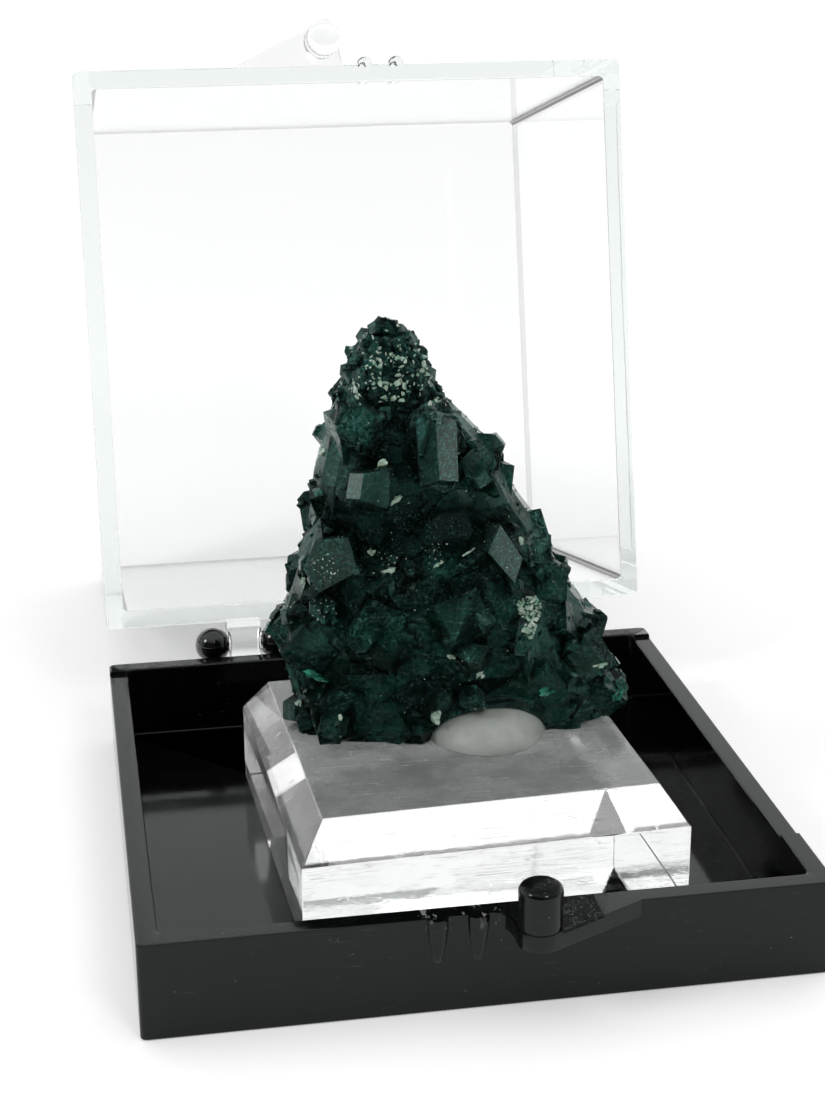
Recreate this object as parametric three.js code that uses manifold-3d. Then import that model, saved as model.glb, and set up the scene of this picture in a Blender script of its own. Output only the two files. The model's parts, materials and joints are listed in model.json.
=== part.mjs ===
// A dioptase specimen, stuck with putty on a clear acrylic block, in a small hinged box.
// Millimetres, +Z up. X runs across the box, +Y towards the hinge.
// The origin is the centre of the tray's underside. The lid is modelled open.
import * as THREE from "three";
import { ConvexGeometry } from "three/addons/geometries/ConvexGeometry.js";
import { mergeVertices } from "three/addons/utils/BufferGeometryUtils.js";
import Module from "manifold-3d";

const wasm = await Module();
wasm.setup();

// Box
const boxSide = 57;
const boxCorner = 0.5;
const wall = 1.84;
const floorThickness = 1.25;
const trayHeight = 8.5;
const lidHeight = 46.6;
const rimGap = 0.25;
const rimStepDepth = 0.35;
const rimStepFront = -19.7;
const rimStepBack = 26.4;

// Hinge
const hingeBehindBack = 2.34;
const hingeAboveRim = 0.4;
const openAngle = THREE.MathUtils.degToRad(103.9);
const hingePairOffset = 14.25;
const ballRadius = 1.82;
const ballSpacing = 6.7;
const dimpleClearance = 0.25;
const tabWidth = 3.5;
const tabRadius = 1.7;
const tabGussetHeight = 2;
const tabAboveMouth = 0.1;
const postWidth = 2.4;
const postTop = 7.4;
const postFoot = 2.6;
const postTip = 6.2;
const postBehindAxis = 1.06;
const postInWall = 0.4;

// Clasp, the same on both halves and mirrored between them
const pegX = 3.05;
const pegOut = 2.35;
const pegRadius = 1.8;
const pegReach = 3.8;
const pegCrown = [[1.8, 1], [1.74, 0.6], [1.5, 0.26], [1, 0.08], [0, 0]];
const flangeThickness = 1.5;
const flangeEnd = 12;
const flangeLip = 0.1;
const flangeFillet = 0.4;
const bumpSpacing = 3.3;
const bumpRadius = 0.8;
const bumpHeight = 4.2;

// Acrylic block
const blockSide = 34;
const blockSideHeight = 7.4;
const blockHeight = 10.76;
const blockBevel = 2.27;
const blockCentre = new THREE.Vector2(1.8, -1.2);
const blockTurn = 0.046;

// Putty
const puttyCentre = new THREE.Vector2(4.6, 0.5);
const puttyRadii = new THREE.Vector3(6, 8, 3.5);

// Gaps between pieces that touch
const restGap = 0.05;
const puttyGap = 0.12;

// How far cutting shapes run past what they cut
const cutPast = 1;

// Heights that follow
const blockBottom = floorThickness + restGap;
const blockTop = blockBottom + blockHeight;
const puttyBottom = blockTop + restGap;
const stoneBottom = blockTop + restGap;
const hingeY = boxSide / 2 + hingeBehindBack;
const hingeZ = trayHeight + hingeAboveRim;

// Specimen. The outlines are [height, distance] pairs of the mass under the crystals.
const leftEdge = [[8, -11.2], [12, -11.7], [15, -12.3], [19, -13.1], [22.5, -13.4], [24.4, -12.8],
  [26, -11.9], [30.4, -10.7], [33.5, -10.2], [36.5, -10], [39, -9.1], [41.5, -8.4], [43.5, -7.6],
  [46, -6.5], [47.5, -6], [48.4, -5.2]];
const rightEdge = [[8, 17.4], [13, 18], [15.5, 17.4], [18.4, 16.3], [22, 15.4], [24, 13.6], [26.6, 11.7],
  [29.6, 11.1], [32, 9.3], [34.5, 7.6], [37.5, 6.2], [39.5, 5.1], [40.6, 3.9], [42, 1.3], [46, 0],
  [47.5, -0.6], [48.4, -1.6]];
const frontFace = [[8, -2.8], [12, -3.6], [17, -4.2], [23, -4.4], [28, -3.5], [32, -2], [36, -2.8],
  [41, -2.3], [44, -1], [46.4, -0.5], [48.4, 1]];
const backFace = [[8, 8.4], [12, 9.4], [20, 10.3], [30, 9.4], [40, 7.8], [46, 6.6], [48.4, 5]];
const massSides = 20;
const massRings = 16;
const massRoundness = 0.82;
const knobStart = 42.8;
const stoneFoot = 8;
const stoneTip = 48.4;

// A dioptase crystal's three end faces fall by this much over one radius
const endSlope = 1.233;

// The crystals that stand out on the front: centre, direction of the long axis, radius, length and twist
const frontCrystals = [
  { at: [-0.3, -1.6, 39.5], along: [0.16, -0.1, 1], radius: 2.7, length: 8.6, twist: 0.35 },
  { at: [-5.9, -1.9, 36], along: [0.75, -0.55, 0.5], radius: 2.3, length: 5.4, twist: 0.2 },
  { at: [-9, -0.6, 29.6], along: [-0.3, -1, 0.45], radius: 3.1, length: 5.8, twist: 0.5 },
  { at: [5.2, -1.6, 29.5], along: [0.85, -0.65, 0.75], radius: 2.9, length: 6.6, twist: 0.9 },
  { at: [-9.9, 0.6, 20.2], along: [-0.5, -0.6, 0.9], radius: 3.3, length: 8.4, twist: 0.1 },
  { at: [-5.4, -2.4, 22.6], along: [-0.25, -0.4, 1], radius: 3.3, length: 8.6, twist: 0.7 },
  { at: [1.8, -2.6, 24], along: [0.3, -0.6, 0.8], radius: 3.4, length: 7.6, twist: 0.4 },
  { at: [-1.6, -2.7, 16.8], along: [1, -0.45, -0.25], radius: 2.4, length: 7, twist: 0.3 },
  { at: [-8.6, -1.6, 15.2], along: [-0.6, -0.6, 0.3], radius: 3.3, length: 6.6, twist: 0.8 },
  { at: [13.6, -0.8, 18.4], along: [0.4, -0.7, 0.8], radius: 3, length: 6.8, twist: 0.6 },
  { at: [15.4, 0.4, 14.6], along: [0.7, -0.6, -0.2], radius: 2.8, length: 6, twist: 0.2 },
  { at: [9.4, -1.8, 17.2], along: [0.1, -0.9, 0.5], radius: 2.6, length: 5.4, twist: 0.5 },
  { at: [9.8, -0.2, 25.4], along: [0.8, -0.4, 0.6], radius: 2.6, length: 6.2, twist: 0.3 },
  { at: [3, -0.4, 36.8], along: [0.4, -0.3, 0.9], radius: 2.4, length: 6.2, twist: 0.9 },
  { at: [-6, -0.8, 41.2], along: [-0.4, -0.5, 1], radius: 2.5, length: 6, twist: 0.4 },
  { at: [7.6, -2, 21.6], along: [-0.3, -0.9, -0.3], radius: 2.6, length: 5.2, twist: 0.1 },
  { at: [-3.2, -0.6, 30.6], along: [0.3, -0.5, -0.8], radius: 2.5, length: 6, twist: 0.6 },
];

// The crystals that cover the rest: rows of them, their spacing and their size
const coatSeed = 30;
const coatRowStep = 4.2;
const coatSpacing = 5;
const coatRadius = [2.1, 3.3];
const coatLength = [1.9, 2.6];
const coatSink = 0.82;
const coatStray = 0.1;
const coatLean = 1.2;
const coatLift = 0.2;
const coatStart = 1.5;

// The finer grains of the knob on top
const grainRows = 4;
const grainSpacing = 2.4;
const grainRadius = [0.8, 1.2];
const grainLength = 2.6;
const grainSink = 0.7;
const grainInset = 0.4;
const crownCount = 4;
const crownTurn = 1.7;
const crownRadius = 1;
const crownInward = 0.3;

// Boolean helpers

function solidOf(geometry) {
  const bare = geometry.clone();
  bare.deleteAttribute("normal");
  bare.deleteAttribute("uv");
  const merged = mergeVertices(bare, 1e-4);
  const mesh = new wasm.Mesh({
    numProp: 3,
    vertProperties: new Float32Array(merged.attributes.position.array),
    triVerts: new Uint32Array(merged.index.array),
  });
  return new wasm.Manifold(mesh);
}

function geometryOf(solid) {
  const mesh = solid.getMesh();
  const geometry = new THREE.BufferGeometry();
  geometry.setAttribute("position", new THREE.BufferAttribute(new Float32Array(mesh.vertProperties), 3));
  geometry.setIndex(new THREE.BufferAttribute(new Uint32Array(mesh.triVerts), 1));
  geometry.computeVertexNormals();
  return geometry;
}

function joined(solids) {
  return solids.reduce((whole, next) => whole.add(next));
}

// Shape helpers

function block(x0, x1, y0, y1, z0, z1) {
  const geometry = new THREE.BoxGeometry(x1 - x0, y1 - y0, z1 - z0);
  geometry.translate((x0 + x1) / 2, (y0 + y1) / 2, (z0 + z1) / 2);
  return solidOf(geometry);
}

function roundedSquare(side, corner) {
  const half = side / 2;
  const straight = half - corner;
  const shape = new THREE.Shape();
  shape.absarc(straight, straight, corner, 0, Math.PI / 2);
  shape.absarc(-straight, straight, corner, Math.PI / 2, Math.PI);
  shape.absarc(-straight, -straight, corner, Math.PI, 1.5 * Math.PI);
  shape.absarc(straight, -straight, corner, 1.5 * Math.PI, 2 * Math.PI);
  shape.closePath();
  return shape;
}

// An upright prism of a plan outline
function upright(shape, z0, z1, curveSegments) {
  const geometry = new THREE.ExtrudeGeometry(shape, { depth: z1 - z0, bevelEnabled: false, curveSegments });
  geometry.translate(0, 0, z0);
  return solidOf(geometry);
}

// A plate that stands across X, from an outline drawn in Y and Z
function across(shape, x0, x1, curveSegments) {
  const geometry = new THREE.ExtrudeGeometry(shape, { depth: x1 - x0, bevelEnabled: false, curveSegments });
  const turned = new THREE.Matrix4().makeBasis(
    new THREE.Vector3(0, 1, 0),
    new THREE.Vector3(0, 0, 1),
    new THREE.Vector3(1, 0, 0),
  );
  geometry.applyMatrix4(turned);
  geometry.translate(x0, 0, 0);
  return solidOf(geometry);
}

function outline(points) {
  return new THREE.Shape(points.map(([a, b]) => new THREE.Vector2(a, b)));
}

function ball(x, y, z, radius) {
  const geometry = new THREE.SphereGeometry(radius, 16, 8);
  geometry.rotateX(Math.PI / 2);
  geometry.translate(x, y, z);
  return solidOf(geometry);
}

// Box shells, both drawn with their mouth plane at mouthZ

function openShell(mouthZ, endZ, endThickness) {
  const low = Math.min(mouthZ, endZ);
  const high = Math.max(mouthZ, endZ);
  const opensUp = mouthZ > endZ;
  const outer = upright(roundedSquare(boxSide, boxCorner), low, high, 3);
  const hollowLow = opensUp ? low + endThickness : low - cutPast;
  const hollowHigh = opensUp ? high + cutPast : high - endThickness;
  const hollow = upright(roundedSquare(boxSide - 2 * wall, boxCorner), hollowLow, hollowHigh, 3);
  return outer.subtract(hollow);
}

// Clasp. side is 1 on the tray and -1 on the lid; rise points from the rim towards the other half.

function claspPeg(side, rimZ, rise) {
  const root = -flangeThickness;
  const crown = pegCrown.map(([radius, drop]) => [radius, pegReach - drop]);
  const profile = [[0, root], [pegRadius, root], ...crown];
  const geometry = new THREE.LatheGeometry(profile.map(([r, h]) => new THREE.Vector2(r, h)), 20);
  geometry.rotateX(Math.PI / 2);
  if (rise < 0) {
    geometry.rotateX(Math.PI);
  }
  geometry.translate(side * pegX, -boxSide / 2 - pegOut, rimZ);
  return solidOf(geometry);
}

function claspFlange(side, rimZ, rise) {
  const faceY = -boxSide / 2;
  const inside = faceY + wall / 2;
  const centreY = faceY - pegOut;
  const run = flangeEnd - pegX;
  const reach = Math.hypot(run, pegOut);
  const foot = pegRadius + flangeLip;
  const tangent = Math.asin(foot / reach) + Math.atan2(pegOut, run);
  const shape = new THREE.Shape();
  shape.moveTo(pegX - foot - flangeFillet, inside);
  shape.lineTo(pegX - foot - flangeFillet, faceY);
  shape.quadraticCurveTo(pegX - foot, faceY - flangeFillet, pegX - foot, centreY);
  shape.absarc(pegX, centreY, foot, Math.PI, 1.5 * Math.PI + tangent);
  shape.lineTo(flangeEnd, faceY);
  shape.lineTo(flangeEnd, inside);
  shape.closePath();
  const low = rise > 0 ? rimZ - flangeThickness : rimZ;
  const geometry = new THREE.ExtrudeGeometry(shape, {
    depth: flangeThickness,
    bevelEnabled: false,
    curveSegments: 8,
  });
  geometry.translate(0, 0, low);
  if (side < 0) {
    geometry.rotateY(Math.PI);
    geometry.translate(0, 0, 2 * low + flangeThickness);
  }
  return solidOf(geometry);
}

function claspBump(side, offset, rimZ, rise) {
  const low = rise > 0 ? rimZ - bumpHeight : rimZ;
  const geometry = new THREE.CylinderGeometry(bumpRadius, bumpRadius, bumpHeight, 12);
  geometry.rotateX(Math.PI / 2);
  geometry.translate(-side * pegX + offset, -boxSide / 2, low + bumpHeight / 2);
  return solidOf(geometry);
}

function clasp(side, rimZ, rise) {
  return joined([
    claspPeg(side, rimZ, rise),
    claspFlange(side, rimZ, rise),
    claspBump(side, -bumpSpacing / 2, rimZ, rise),
    claspBump(side, bumpSpacing / 2, rimZ, rise),
  ]);
}

// Hinge

function ballPosts() {
  const back = boxSide / 2;
  const profile = outline([
    [back - postInWall, postFoot],
    [hingeY + postBehindAxis, postTip],
    [hingeY + postBehindAxis, postTop],
    [back - postInWall, postTop],
  ]);
  const solids = [];
  for (const pair of [-hingePairOffset, hingePairOffset]) {
    for (const side of [-1, 1]) {
      const x = pair + (side * ballSpacing) / 2;
      solids.push(across(profile, x - postWidth / 2, x + postWidth / 2, 1));
      solids.push(ball(x, hingeY, hingeZ, ballRadius));
    }
  }
  return joined(solids);
}

function hingeTab(pair, mouthZ) {
  const back = boxSide / 2;
  const root = mouthZ + tabAboveMouth;
  const shape = new THREE.Shape();
  shape.moveTo(back - wall / 2, root);
  shape.lineTo(hingeY, root);
  shape.lineTo(hingeY, hingeZ + tabRadius);
  shape.lineTo(back, hingeZ + tabRadius + tabGussetHeight);
  shape.lineTo(back - wall / 2, hingeZ + tabRadius + tabGussetHeight);
  shape.closePath();
  const eye = new THREE.CylinderGeometry(tabRadius, tabRadius, tabWidth, 20);
  eye.rotateZ(Math.PI / 2);
  eye.translate(pair, hingeY, hingeZ);
  let tab = across(shape, pair - tabWidth / 2, pair + tabWidth / 2, 1).add(solidOf(eye));
  for (const side of [-1, 1]) {
    tab = tab.subtract(ball(pair + (side * ballSpacing) / 2, hingeY, hingeZ, ballRadius + dimpleClearance));
  }
  return tab;
}

// Box halves

function trayGeometry() {
  const shell = openShell(trayHeight, 0, floorThickness);
  const half = boxSide / 2;
  const stepZ = trayHeight - rimStepDepth;
  const inner = half - wall - cutPast / 2;
  const steps = [-1, 1].map((side) => {
    const near = Math.min(side * inner, side * (half + cutPast));
    const far = Math.max(side * inner, side * (half + cutPast));
    return block(near, far, rimStepFront, rimStepBack, stepZ, trayHeight + cutPast);
  });
  const stepped = shell.subtract(joined(steps));
  return geometryOf(joined([stepped, ballPosts(), clasp(1, trayHeight, 1)]));
}

// The lid as it is when closed
function closedLid() {
  const mouthZ = trayHeight + rimGap;
  const shell = openShell(mouthZ, mouthZ + lidHeight, wall);
  const tabs = [-hingePairOffset, hingePairOffset].map((pair) => hingeTab(pair, mouthZ));
  return joined([shell, ...tabs, clasp(-1, mouthZ, -1)]);
}

function lidGeometry() {
  const geometry = geometryOf(closedLid());
  geometry.translate(0, -hingeY, -hingeZ);
  return geometry;
}

// Holder

function acrylicGeometry() {
  const low = blockSide / 2;
  const high = low - blockBevel;
  const corners = [];
  for (const [half, z] of [[low, 0], [low, blockSideHeight], [high, blockHeight]]) {
    for (const sx of [-1, 1]) {
      for (const sy of [-1, 1]) {
        corners.push(new THREE.Vector3(sx * half, sy * half, z));
      }
    }
  }
  return new ConvexGeometry(corners);
}

function puttySolid(extra) {
  const geometry = new THREE.SphereGeometry(1, 22, 12);
  geometry.rotateX(Math.PI / 2);
  geometry.scale(puttyRadii.x + extra, puttyRadii.y + extra, puttyRadii.z + extra);
  geometry.translate(puttyCentre.x, puttyCentre.y, puttyBottom);
  const reach = boxSide;
  return solidOf(geometry).subtract(block(-reach, reach, -reach, reach, puttyBottom - reach, puttyBottom));
}

// Specimen

// Repeatable random numbers from 0 to 1
function randomFrom(seed) {
  let state = seed >>> 0;
  return () => {
    state = (state + 0x6d2b79f5) >>> 0;
    let mixed = state;
    mixed = Math.imul(mixed ^ (mixed >>> 15), mixed | 1);
    mixed ^= mixed + Math.imul(mixed ^ (mixed >>> 7), mixed | 61);
    return ((mixed ^ (mixed >>> 14)) >>> 0) / 4294967296;
  };
}

function between(random, [low, high]) {
  return low + (high - low) * random();
}

function along(edge, height) {
  let last = edge[0];
  for (const point of edge) {
    if (height <= point[0]) {
      const span = point[0] - last[0];
      const share = span > 0 ? (height - last[0]) / span : 0;
      return last[1] + (point[1] - last[1]) * share;
    }
    last = point;
  }
  return last[1];
}

// A point on the mass under the crystals: turn 0 is +X and a quarter turn is +Y
function massPoint(height, turn) {
  const left = along(leftEdge, height);
  const right = along(rightEdge, height);
  const front = along(frontFace, height);
  const back = along(backFace, height);
  const swell = (value) => Math.sign(value) * Math.abs(value) ** massRoundness;
  const x = (left + right) / 2 + ((right - left) / 2) * swell(Math.cos(turn));
  const y = (front + back) / 2 + ((back - front) / 2) * swell(Math.sin(turn));
  return new THREE.Vector3(x, y, height);
}

function massNormal(height, turn) {
  const nudge = 0.02;
  const step = 0.4;
  const alongTurn = massPoint(height, turn + nudge).sub(massPoint(height, turn - nudge));
  const alongHeight = massPoint(height + step, turn).sub(massPoint(height - step, turn));
  return alongTurn.cross(alongHeight).normalize();
}

function massSolid() {
  const geometry = new THREE.CylinderGeometry(1, 1, 1, massSides, massRings);
  const position = geometry.attributes.position;
  for (let index = 0; index < position.count; index += 1) {
    const height = stoneFoot + (position.getY(index) + 0.5) * (stoneTip - stoneFoot);
    const reach = Math.hypot(position.getX(index), position.getZ(index));
    const turn = Math.atan2(-position.getZ(index), position.getX(index));
    const rim = massPoint(height, turn);
    const middle = massPoint(height, turn + Math.PI).add(massPoint(height, turn)).multiplyScalar(0.5);
    const place = middle.lerp(rim, reach);
    position.setXYZ(index, place.x, place.y, place.z);
  }
  return solidOf(geometry);
}

// A short six-sided prism with three rhombic faces at each end, turned by a sixth between the ends
function crystalSolid({ at, along: axis, radius, length, twist }) {
  const rise = (endSlope * radius) / 2;
  const shortest = 2 * rise + 0.1;
  const half = Math.max(length / 2, shortest);
  const points = [new THREE.Vector3(0, 0, half), new THREE.Vector3(0, 0, -half)];
  for (let corner = 0; corner < 6; corner += 1) {
    const turn = twist + (corner * Math.PI) / 3;
    const drop = corner % 2 === 0 ? 2 * rise : rise;
    const lift = corner % 2 === 0 ? rise : 2 * rise;
    points.push(new THREE.Vector3(radius * Math.cos(turn), radius * Math.sin(turn), half - drop));
    points.push(new THREE.Vector3(radius * Math.cos(turn), radius * Math.sin(turn), lift - half));
  }
  const geometry = new ConvexGeometry(points);
  const up = new THREE.Vector3(0, 0, 1);
  const direction = new THREE.Vector3(...axis).normalize();
  geometry.applyQuaternion(new THREE.Quaternion().setFromUnitVectors(up, direction));
  geometry.translate(...at);
  return solidOf(geometry);
}

// A crystal that grows out of the mass at one place, leaning at random
function coatCrystal(random, height, turn, radius, length, sink) {
  const normal = massNormal(height, turn);
  const place = massPoint(height, turn).addScaledVector(normal, -sink * radius);
  const lean = new THREE.Vector3(random() - 0.5, random() - 0.5, random() - 0.5 + coatLift);
  lean.multiplyScalar(coatLean);
  const direction = normal.clone().add(lean).normalize();
  return crystalSolid({
    at: place.toArray(),
    along: direction.toArray(),
    radius,
    length,
    twist: random() * Math.PI,
  });
}

// Turns that stand an equal way apart round the mass, from a share of the way round
function evenTurns(height, spacing, start) {
  const steps = 90;
  const way = [0];
  for (let step = 1; step <= steps; step += 1) {
    const here = massPoint(height, (step / steps) * 2 * Math.PI);
    const before = massPoint(height, ((step - 1) / steps) * 2 * Math.PI);
    way.push(way[step - 1] + here.distanceTo(before));
  }
  const count = Math.max(3, Math.round(way[steps] / spacing));
  const turns = [];
  for (let place = 0; place < count; place += 1) {
    const wanted = (((place + start) % count) / count) * way[steps];
    const step = Math.max(1, way.findIndex((value) => value >= wanted));
    const share = (wanted - way[step - 1]) / (way[step] - way[step - 1]);
    turns.push(((step - 1 + share) / steps) * 2 * Math.PI);
  }
  return turns;
}

function coatSolids() {
  const random = randomFrom(coatSeed);
  const solids = [];
  for (let height = stoneBottom + coatStart; height < knobStart; height += coatRowStep) {
    for (const turn of evenTurns(height, coatSpacing, random())) {
      const radius = between(random, coatRadius);
      const length = radius * between(random, coatLength);
      const level = height + (random() - 0.5) * coatRowStep;
      solids.push(coatCrystal(random, level, turn + (random() - 0.5) * coatStray, radius, length, coatSink));
    }
  }
  return solids;
}

function knobSolids() {
  const random = randomFrom(coatSeed + 1);
  const solids = [];
  const first = knobStart + grainInset;
  const rise = (stoneTip - grainInset - first) / (grainRows - 1);
  for (let row = 0; row < grainRows; row += 1) {
    const height = first + row * rise;
    for (const turn of evenTurns(height, grainSpacing, random())) {
      const radius = between(random, grainRadius);
      solids.push(coatCrystal(random, height, turn, radius, radius * grainLength, grainSink));
    }
  }
  for (let place = 0; place < crownCount; place += 1) {
    const turn = place * crownTurn;
    const centre = massPoint(stoneTip, turn).lerp(massPoint(stoneTip, turn + Math.PI), crownInward);
    solids.push(crystalSolid({
      at: centre.toArray(),
      along: [random() - 0.5, random() - 0.5, 1],
      radius: crownRadius,
      length: crownRadius * grainLength,
      twist: turn,
    }));
  }
  return solids;
}

function dioptaseGeometry() {
  const crystals = frontCrystals.map(crystalSolid);
  const grown = joined([massSolid(), ...crystals, ...coatSolids(), ...knobSolids()]);
  const reach = boxSide;
  const seat = block(-reach, reach, -reach, reach, -reach, stoneBottom);
  const seated = grown.subtract(seat).subtract(puttySolid(puttyGap));
  const bodies = seated.decompose();
  bodies.sort((a, b) => b.volume() - a.volume());
  return geometryOf(bodies[0]);
}

// Materials

const blackStyrene = new THREE.MeshStandardMaterial({ color: 0x0b0c0c, roughness: 0.12, metalness: 0 });
const clearStyrene = new THREE.MeshStandardMaterial({
  color: 0xeff3f4,
  roughness: 0.05,
  metalness: 0,
  transparent: true,
  opacity: 0.25,
});
const clearAcrylic = new THREE.MeshStandardMaterial({
  color: 0xf4f7f6,
  roughness: 0.04,
  metalness: 0,
  transparent: true,
  opacity: 0.4,
});
const greyPutty = new THREE.MeshStandardMaterial({ color: 0xb4b8b4, roughness: 0.6, metalness: 0 });
const deepGreen = new THREE.MeshStandardMaterial({ color: 0x0b4a3c, roughness: 0.2, metalness: 0 });

// The whole

function named(name, geometry, material) {
  const mesh = new THREE.Mesh(geometry, material);
  mesh.name = name;
  return mesh;
}

const specimen = new THREE.Group();

specimen.add(named("box_tray", trayGeometry(), blackStyrene));

const acrylic = named("acrylic_base", acrylicGeometry(), clearAcrylic);
acrylic.position.set(blockCentre.x, blockCentre.y, blockBottom);
acrylic.rotation.z = blockTurn;
specimen.add(acrylic);

specimen.add(named("putty", geometryOf(puttySolid(0)), greyPutty));
specimen.add(named("dioptase", dioptaseGeometry(), deepGreen));

const hinge = new THREE.Group();
hinge.position.set(0, hingeY, hingeZ);
hinge.rotation.x = -openAngle;
hinge.add(named("box_lid", lidGeometry(), clearStyrene));
specimen.add(hinge);

export default specimen;
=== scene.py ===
"""A dioptase specimen on its clear block, in a small hinged display box."""

import json
import math
import random

import bmesh
import bpy
from bpy.props import FloatProperty, FloatVectorProperty, IntProperty, PointerProperty
from mathutils import Matrix, Vector, noise
from mathutils.bvhtree import BVHTree

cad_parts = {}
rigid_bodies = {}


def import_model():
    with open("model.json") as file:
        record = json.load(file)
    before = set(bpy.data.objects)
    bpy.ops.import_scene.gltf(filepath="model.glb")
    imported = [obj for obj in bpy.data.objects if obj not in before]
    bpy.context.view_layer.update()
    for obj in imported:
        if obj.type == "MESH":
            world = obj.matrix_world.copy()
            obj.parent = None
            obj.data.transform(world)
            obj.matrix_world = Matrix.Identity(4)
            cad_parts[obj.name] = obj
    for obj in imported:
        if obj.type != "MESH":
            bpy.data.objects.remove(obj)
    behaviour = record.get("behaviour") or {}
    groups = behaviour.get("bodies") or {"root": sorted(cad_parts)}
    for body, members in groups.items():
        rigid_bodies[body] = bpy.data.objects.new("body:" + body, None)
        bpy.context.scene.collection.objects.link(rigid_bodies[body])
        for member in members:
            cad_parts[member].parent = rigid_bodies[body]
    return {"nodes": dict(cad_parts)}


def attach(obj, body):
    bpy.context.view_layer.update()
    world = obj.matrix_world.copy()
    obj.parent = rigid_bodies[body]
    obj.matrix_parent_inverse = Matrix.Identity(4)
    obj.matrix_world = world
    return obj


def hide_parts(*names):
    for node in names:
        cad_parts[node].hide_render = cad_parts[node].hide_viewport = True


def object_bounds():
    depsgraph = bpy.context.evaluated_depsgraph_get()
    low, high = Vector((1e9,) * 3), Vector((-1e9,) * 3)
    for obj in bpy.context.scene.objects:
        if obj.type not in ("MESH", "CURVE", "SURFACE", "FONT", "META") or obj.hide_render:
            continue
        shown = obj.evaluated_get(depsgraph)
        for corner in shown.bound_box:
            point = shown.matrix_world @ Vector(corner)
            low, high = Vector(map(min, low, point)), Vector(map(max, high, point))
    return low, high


bl_info = {
    "name": "Boxed Dioptase Specimen",
    "version": (1, 0, 0),
    "blender": (4, 5, 0),
    "location": "View3D > Sidebar > Specimen",
    "description": "Builds a dioptase specimen on its clear block in a hinged display box",
    "category": "Object",
}

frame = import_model()
cad_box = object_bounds()

MM = 0.001
X, Y, Z = range(3)


def length(label, text, millimetres):
    """A length that a user can change, given here in millimetres."""
    return FloatProperty(name=label, description=text, default=millimetres * MM, unit="LENGTH", precision=5)


def quantity(label, text, value, **more):
    """A plain number that a user can change, never below 0."""
    return FloatProperty(name=label, description=text, default=value, min=0, **more)


def colour(label, text, value):
    """A colour that a user can change."""
    return FloatVectorProperty(name=label, description=text, default=value, min=0, max=1, size=3,
                               subtype="COLOR")


def triple(label, text, *millimetres):
    """A place or size along the three axes, given here in millimetres."""
    return FloatVectorProperty(name=label, description=text, default=[value * MM for value in millimetres],
                               size=3, unit="LENGTH")


def bearing(label, text, radians):
    """An angle that a user can change."""
    return FloatProperty(name=label, description=text, default=radians, subtype="ANGLE")


class BoxSizes(bpy.types.PropertyGroup):
    """Sizes of the box, its hinge and its clasp, the same as in the part's source."""

    side: length("Side", "Width and depth of the box outside", 57)
    corner: length("Corner", "Radius of the upright corners", 0.5)
    wall: length("Wall", "Thickness of the walls", 1.84)
    floor: length("Floor", "Thickness of the tray's floor", 1.25)
    tray_height: length("Tray Height", "Height of the tray to its rim", 8.5)
    lid_height: length("Lid Height", "Height of the lid from its rim to its top", 46.6)
    rim_gap: length("Rim Gap", "Gap between the two rims when the box is shut", 0.25)
    rim_step: length("Rim Step", "How far the side rims are set down", 0.35)
    step_front: length("Step Front", "Where the set-down part of the side rims starts", -19.7)
    step_back: length("Step Back", "Where the set-down part of the side rims ends", 26.4)
    edge: length("Edge", "Radius of the tray's edges", 0.22)
    lid_edge: length("Lid Edge", "Radius of the lid's edges", 0.1)
    hinge_behind: length("Hinge Behind", "Hinge axis behind the back wall", 2.34)
    hinge_above: length("Hinge Above", "Hinge axis above the tray's rim", 0.4)
    hinge_pair: length("Hinge Pair", "Distance of each hinge from the middle", 14.25)
    ball_radius: length("Ball Radius", "Radius of the hinge balls", 1.84)
    ball_spacing: length("Ball Spacing", "Distance between the two balls of a hinge", 6.7)
    ball_play: length("Ball Play", "Clearance of the lid's dimples round the balls", 0.25)
    tab_width: length("Tab Width", "Width of the lid's hinge tabs", 3.5)
    tab_radius: length("Tab Radius", "Radius of the hinge tabs round the axis", 1.7)
    peg_x: length("Peg Place", "Distance of the clasp pegs from the middle", 3.05)
    peg_out: length("Peg Out", "Distance of the clasp pegs in front of the wall", 2.35)
    peg_radius: length("Peg Radius", "Radius of the clasp pegs", 1.8)
    peg_reach: length("Peg Reach", "How far the pegs stand above the rim", 3.8)
    open_angle: bearing("Open Angle", "Angle between the shut lid and the open one", math.radians(103.9))


class HolderSizes(bpy.types.PropertyGroup):
    """Sizes of the clear block and of the putty on it."""

    side: length("Block Side", "Width and depth of the clear block", 34)
    side_height: length("Side Height", "Height of the block's upright sides", 7.4)
    height: length("Block Height", "Height of the whole block", 10.76)
    bevel: length("Bevel", "Width of the sloping band round the top", 2.27)
    place: triple("Place", "Middle of the block's underside", 1.8, -1.2, 1.3)
    block_turn: bearing("Turn", "Turn of the block in the tray", 0.046)
    putty_place: triple("Putty Place", "Middle of the putty's underside", 4.6, 0.5, 12.11)
    putty_size: triple("Putty Size", "Half width, half depth and height of the putty", 6, 8, 3.5)
    putty_gap: length("Putty Gap", "Gap between the putty and the stone", 0.12)


class StoneSizes(bpy.types.PropertyGroup):
    """Sizes of the crystals that grow on the stone."""

    seed: IntProperty(name="Seed", description="Start of the random numbers", default=7)
    spacing: length("Spacing", "Distance between the crystals of the coat", 1.5)
    smallest: length("Smallest", "Radius of the smallest crystals of the coat", 0.6)
    largest: length("Largest", "Radius of the largest crystals of the coat", 1.45)
    crumb_spacing: length("Crumb Spacing", "Distance between the crumbs", 1.7)
    knob_start: length("Knob Start", "Height at which the fine-grained knob starts", 43.4)
    knob_spacing: length("Knob Spacing", "Distance between the grains of the knob", 0.82)
    core_depth: length("Core Depth", "How deep the cloudy core lies under the surface", 0.95)
    core_grain: length("Core Grain", "Fineness of the cloudy core's mesh", 0.6)


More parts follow.
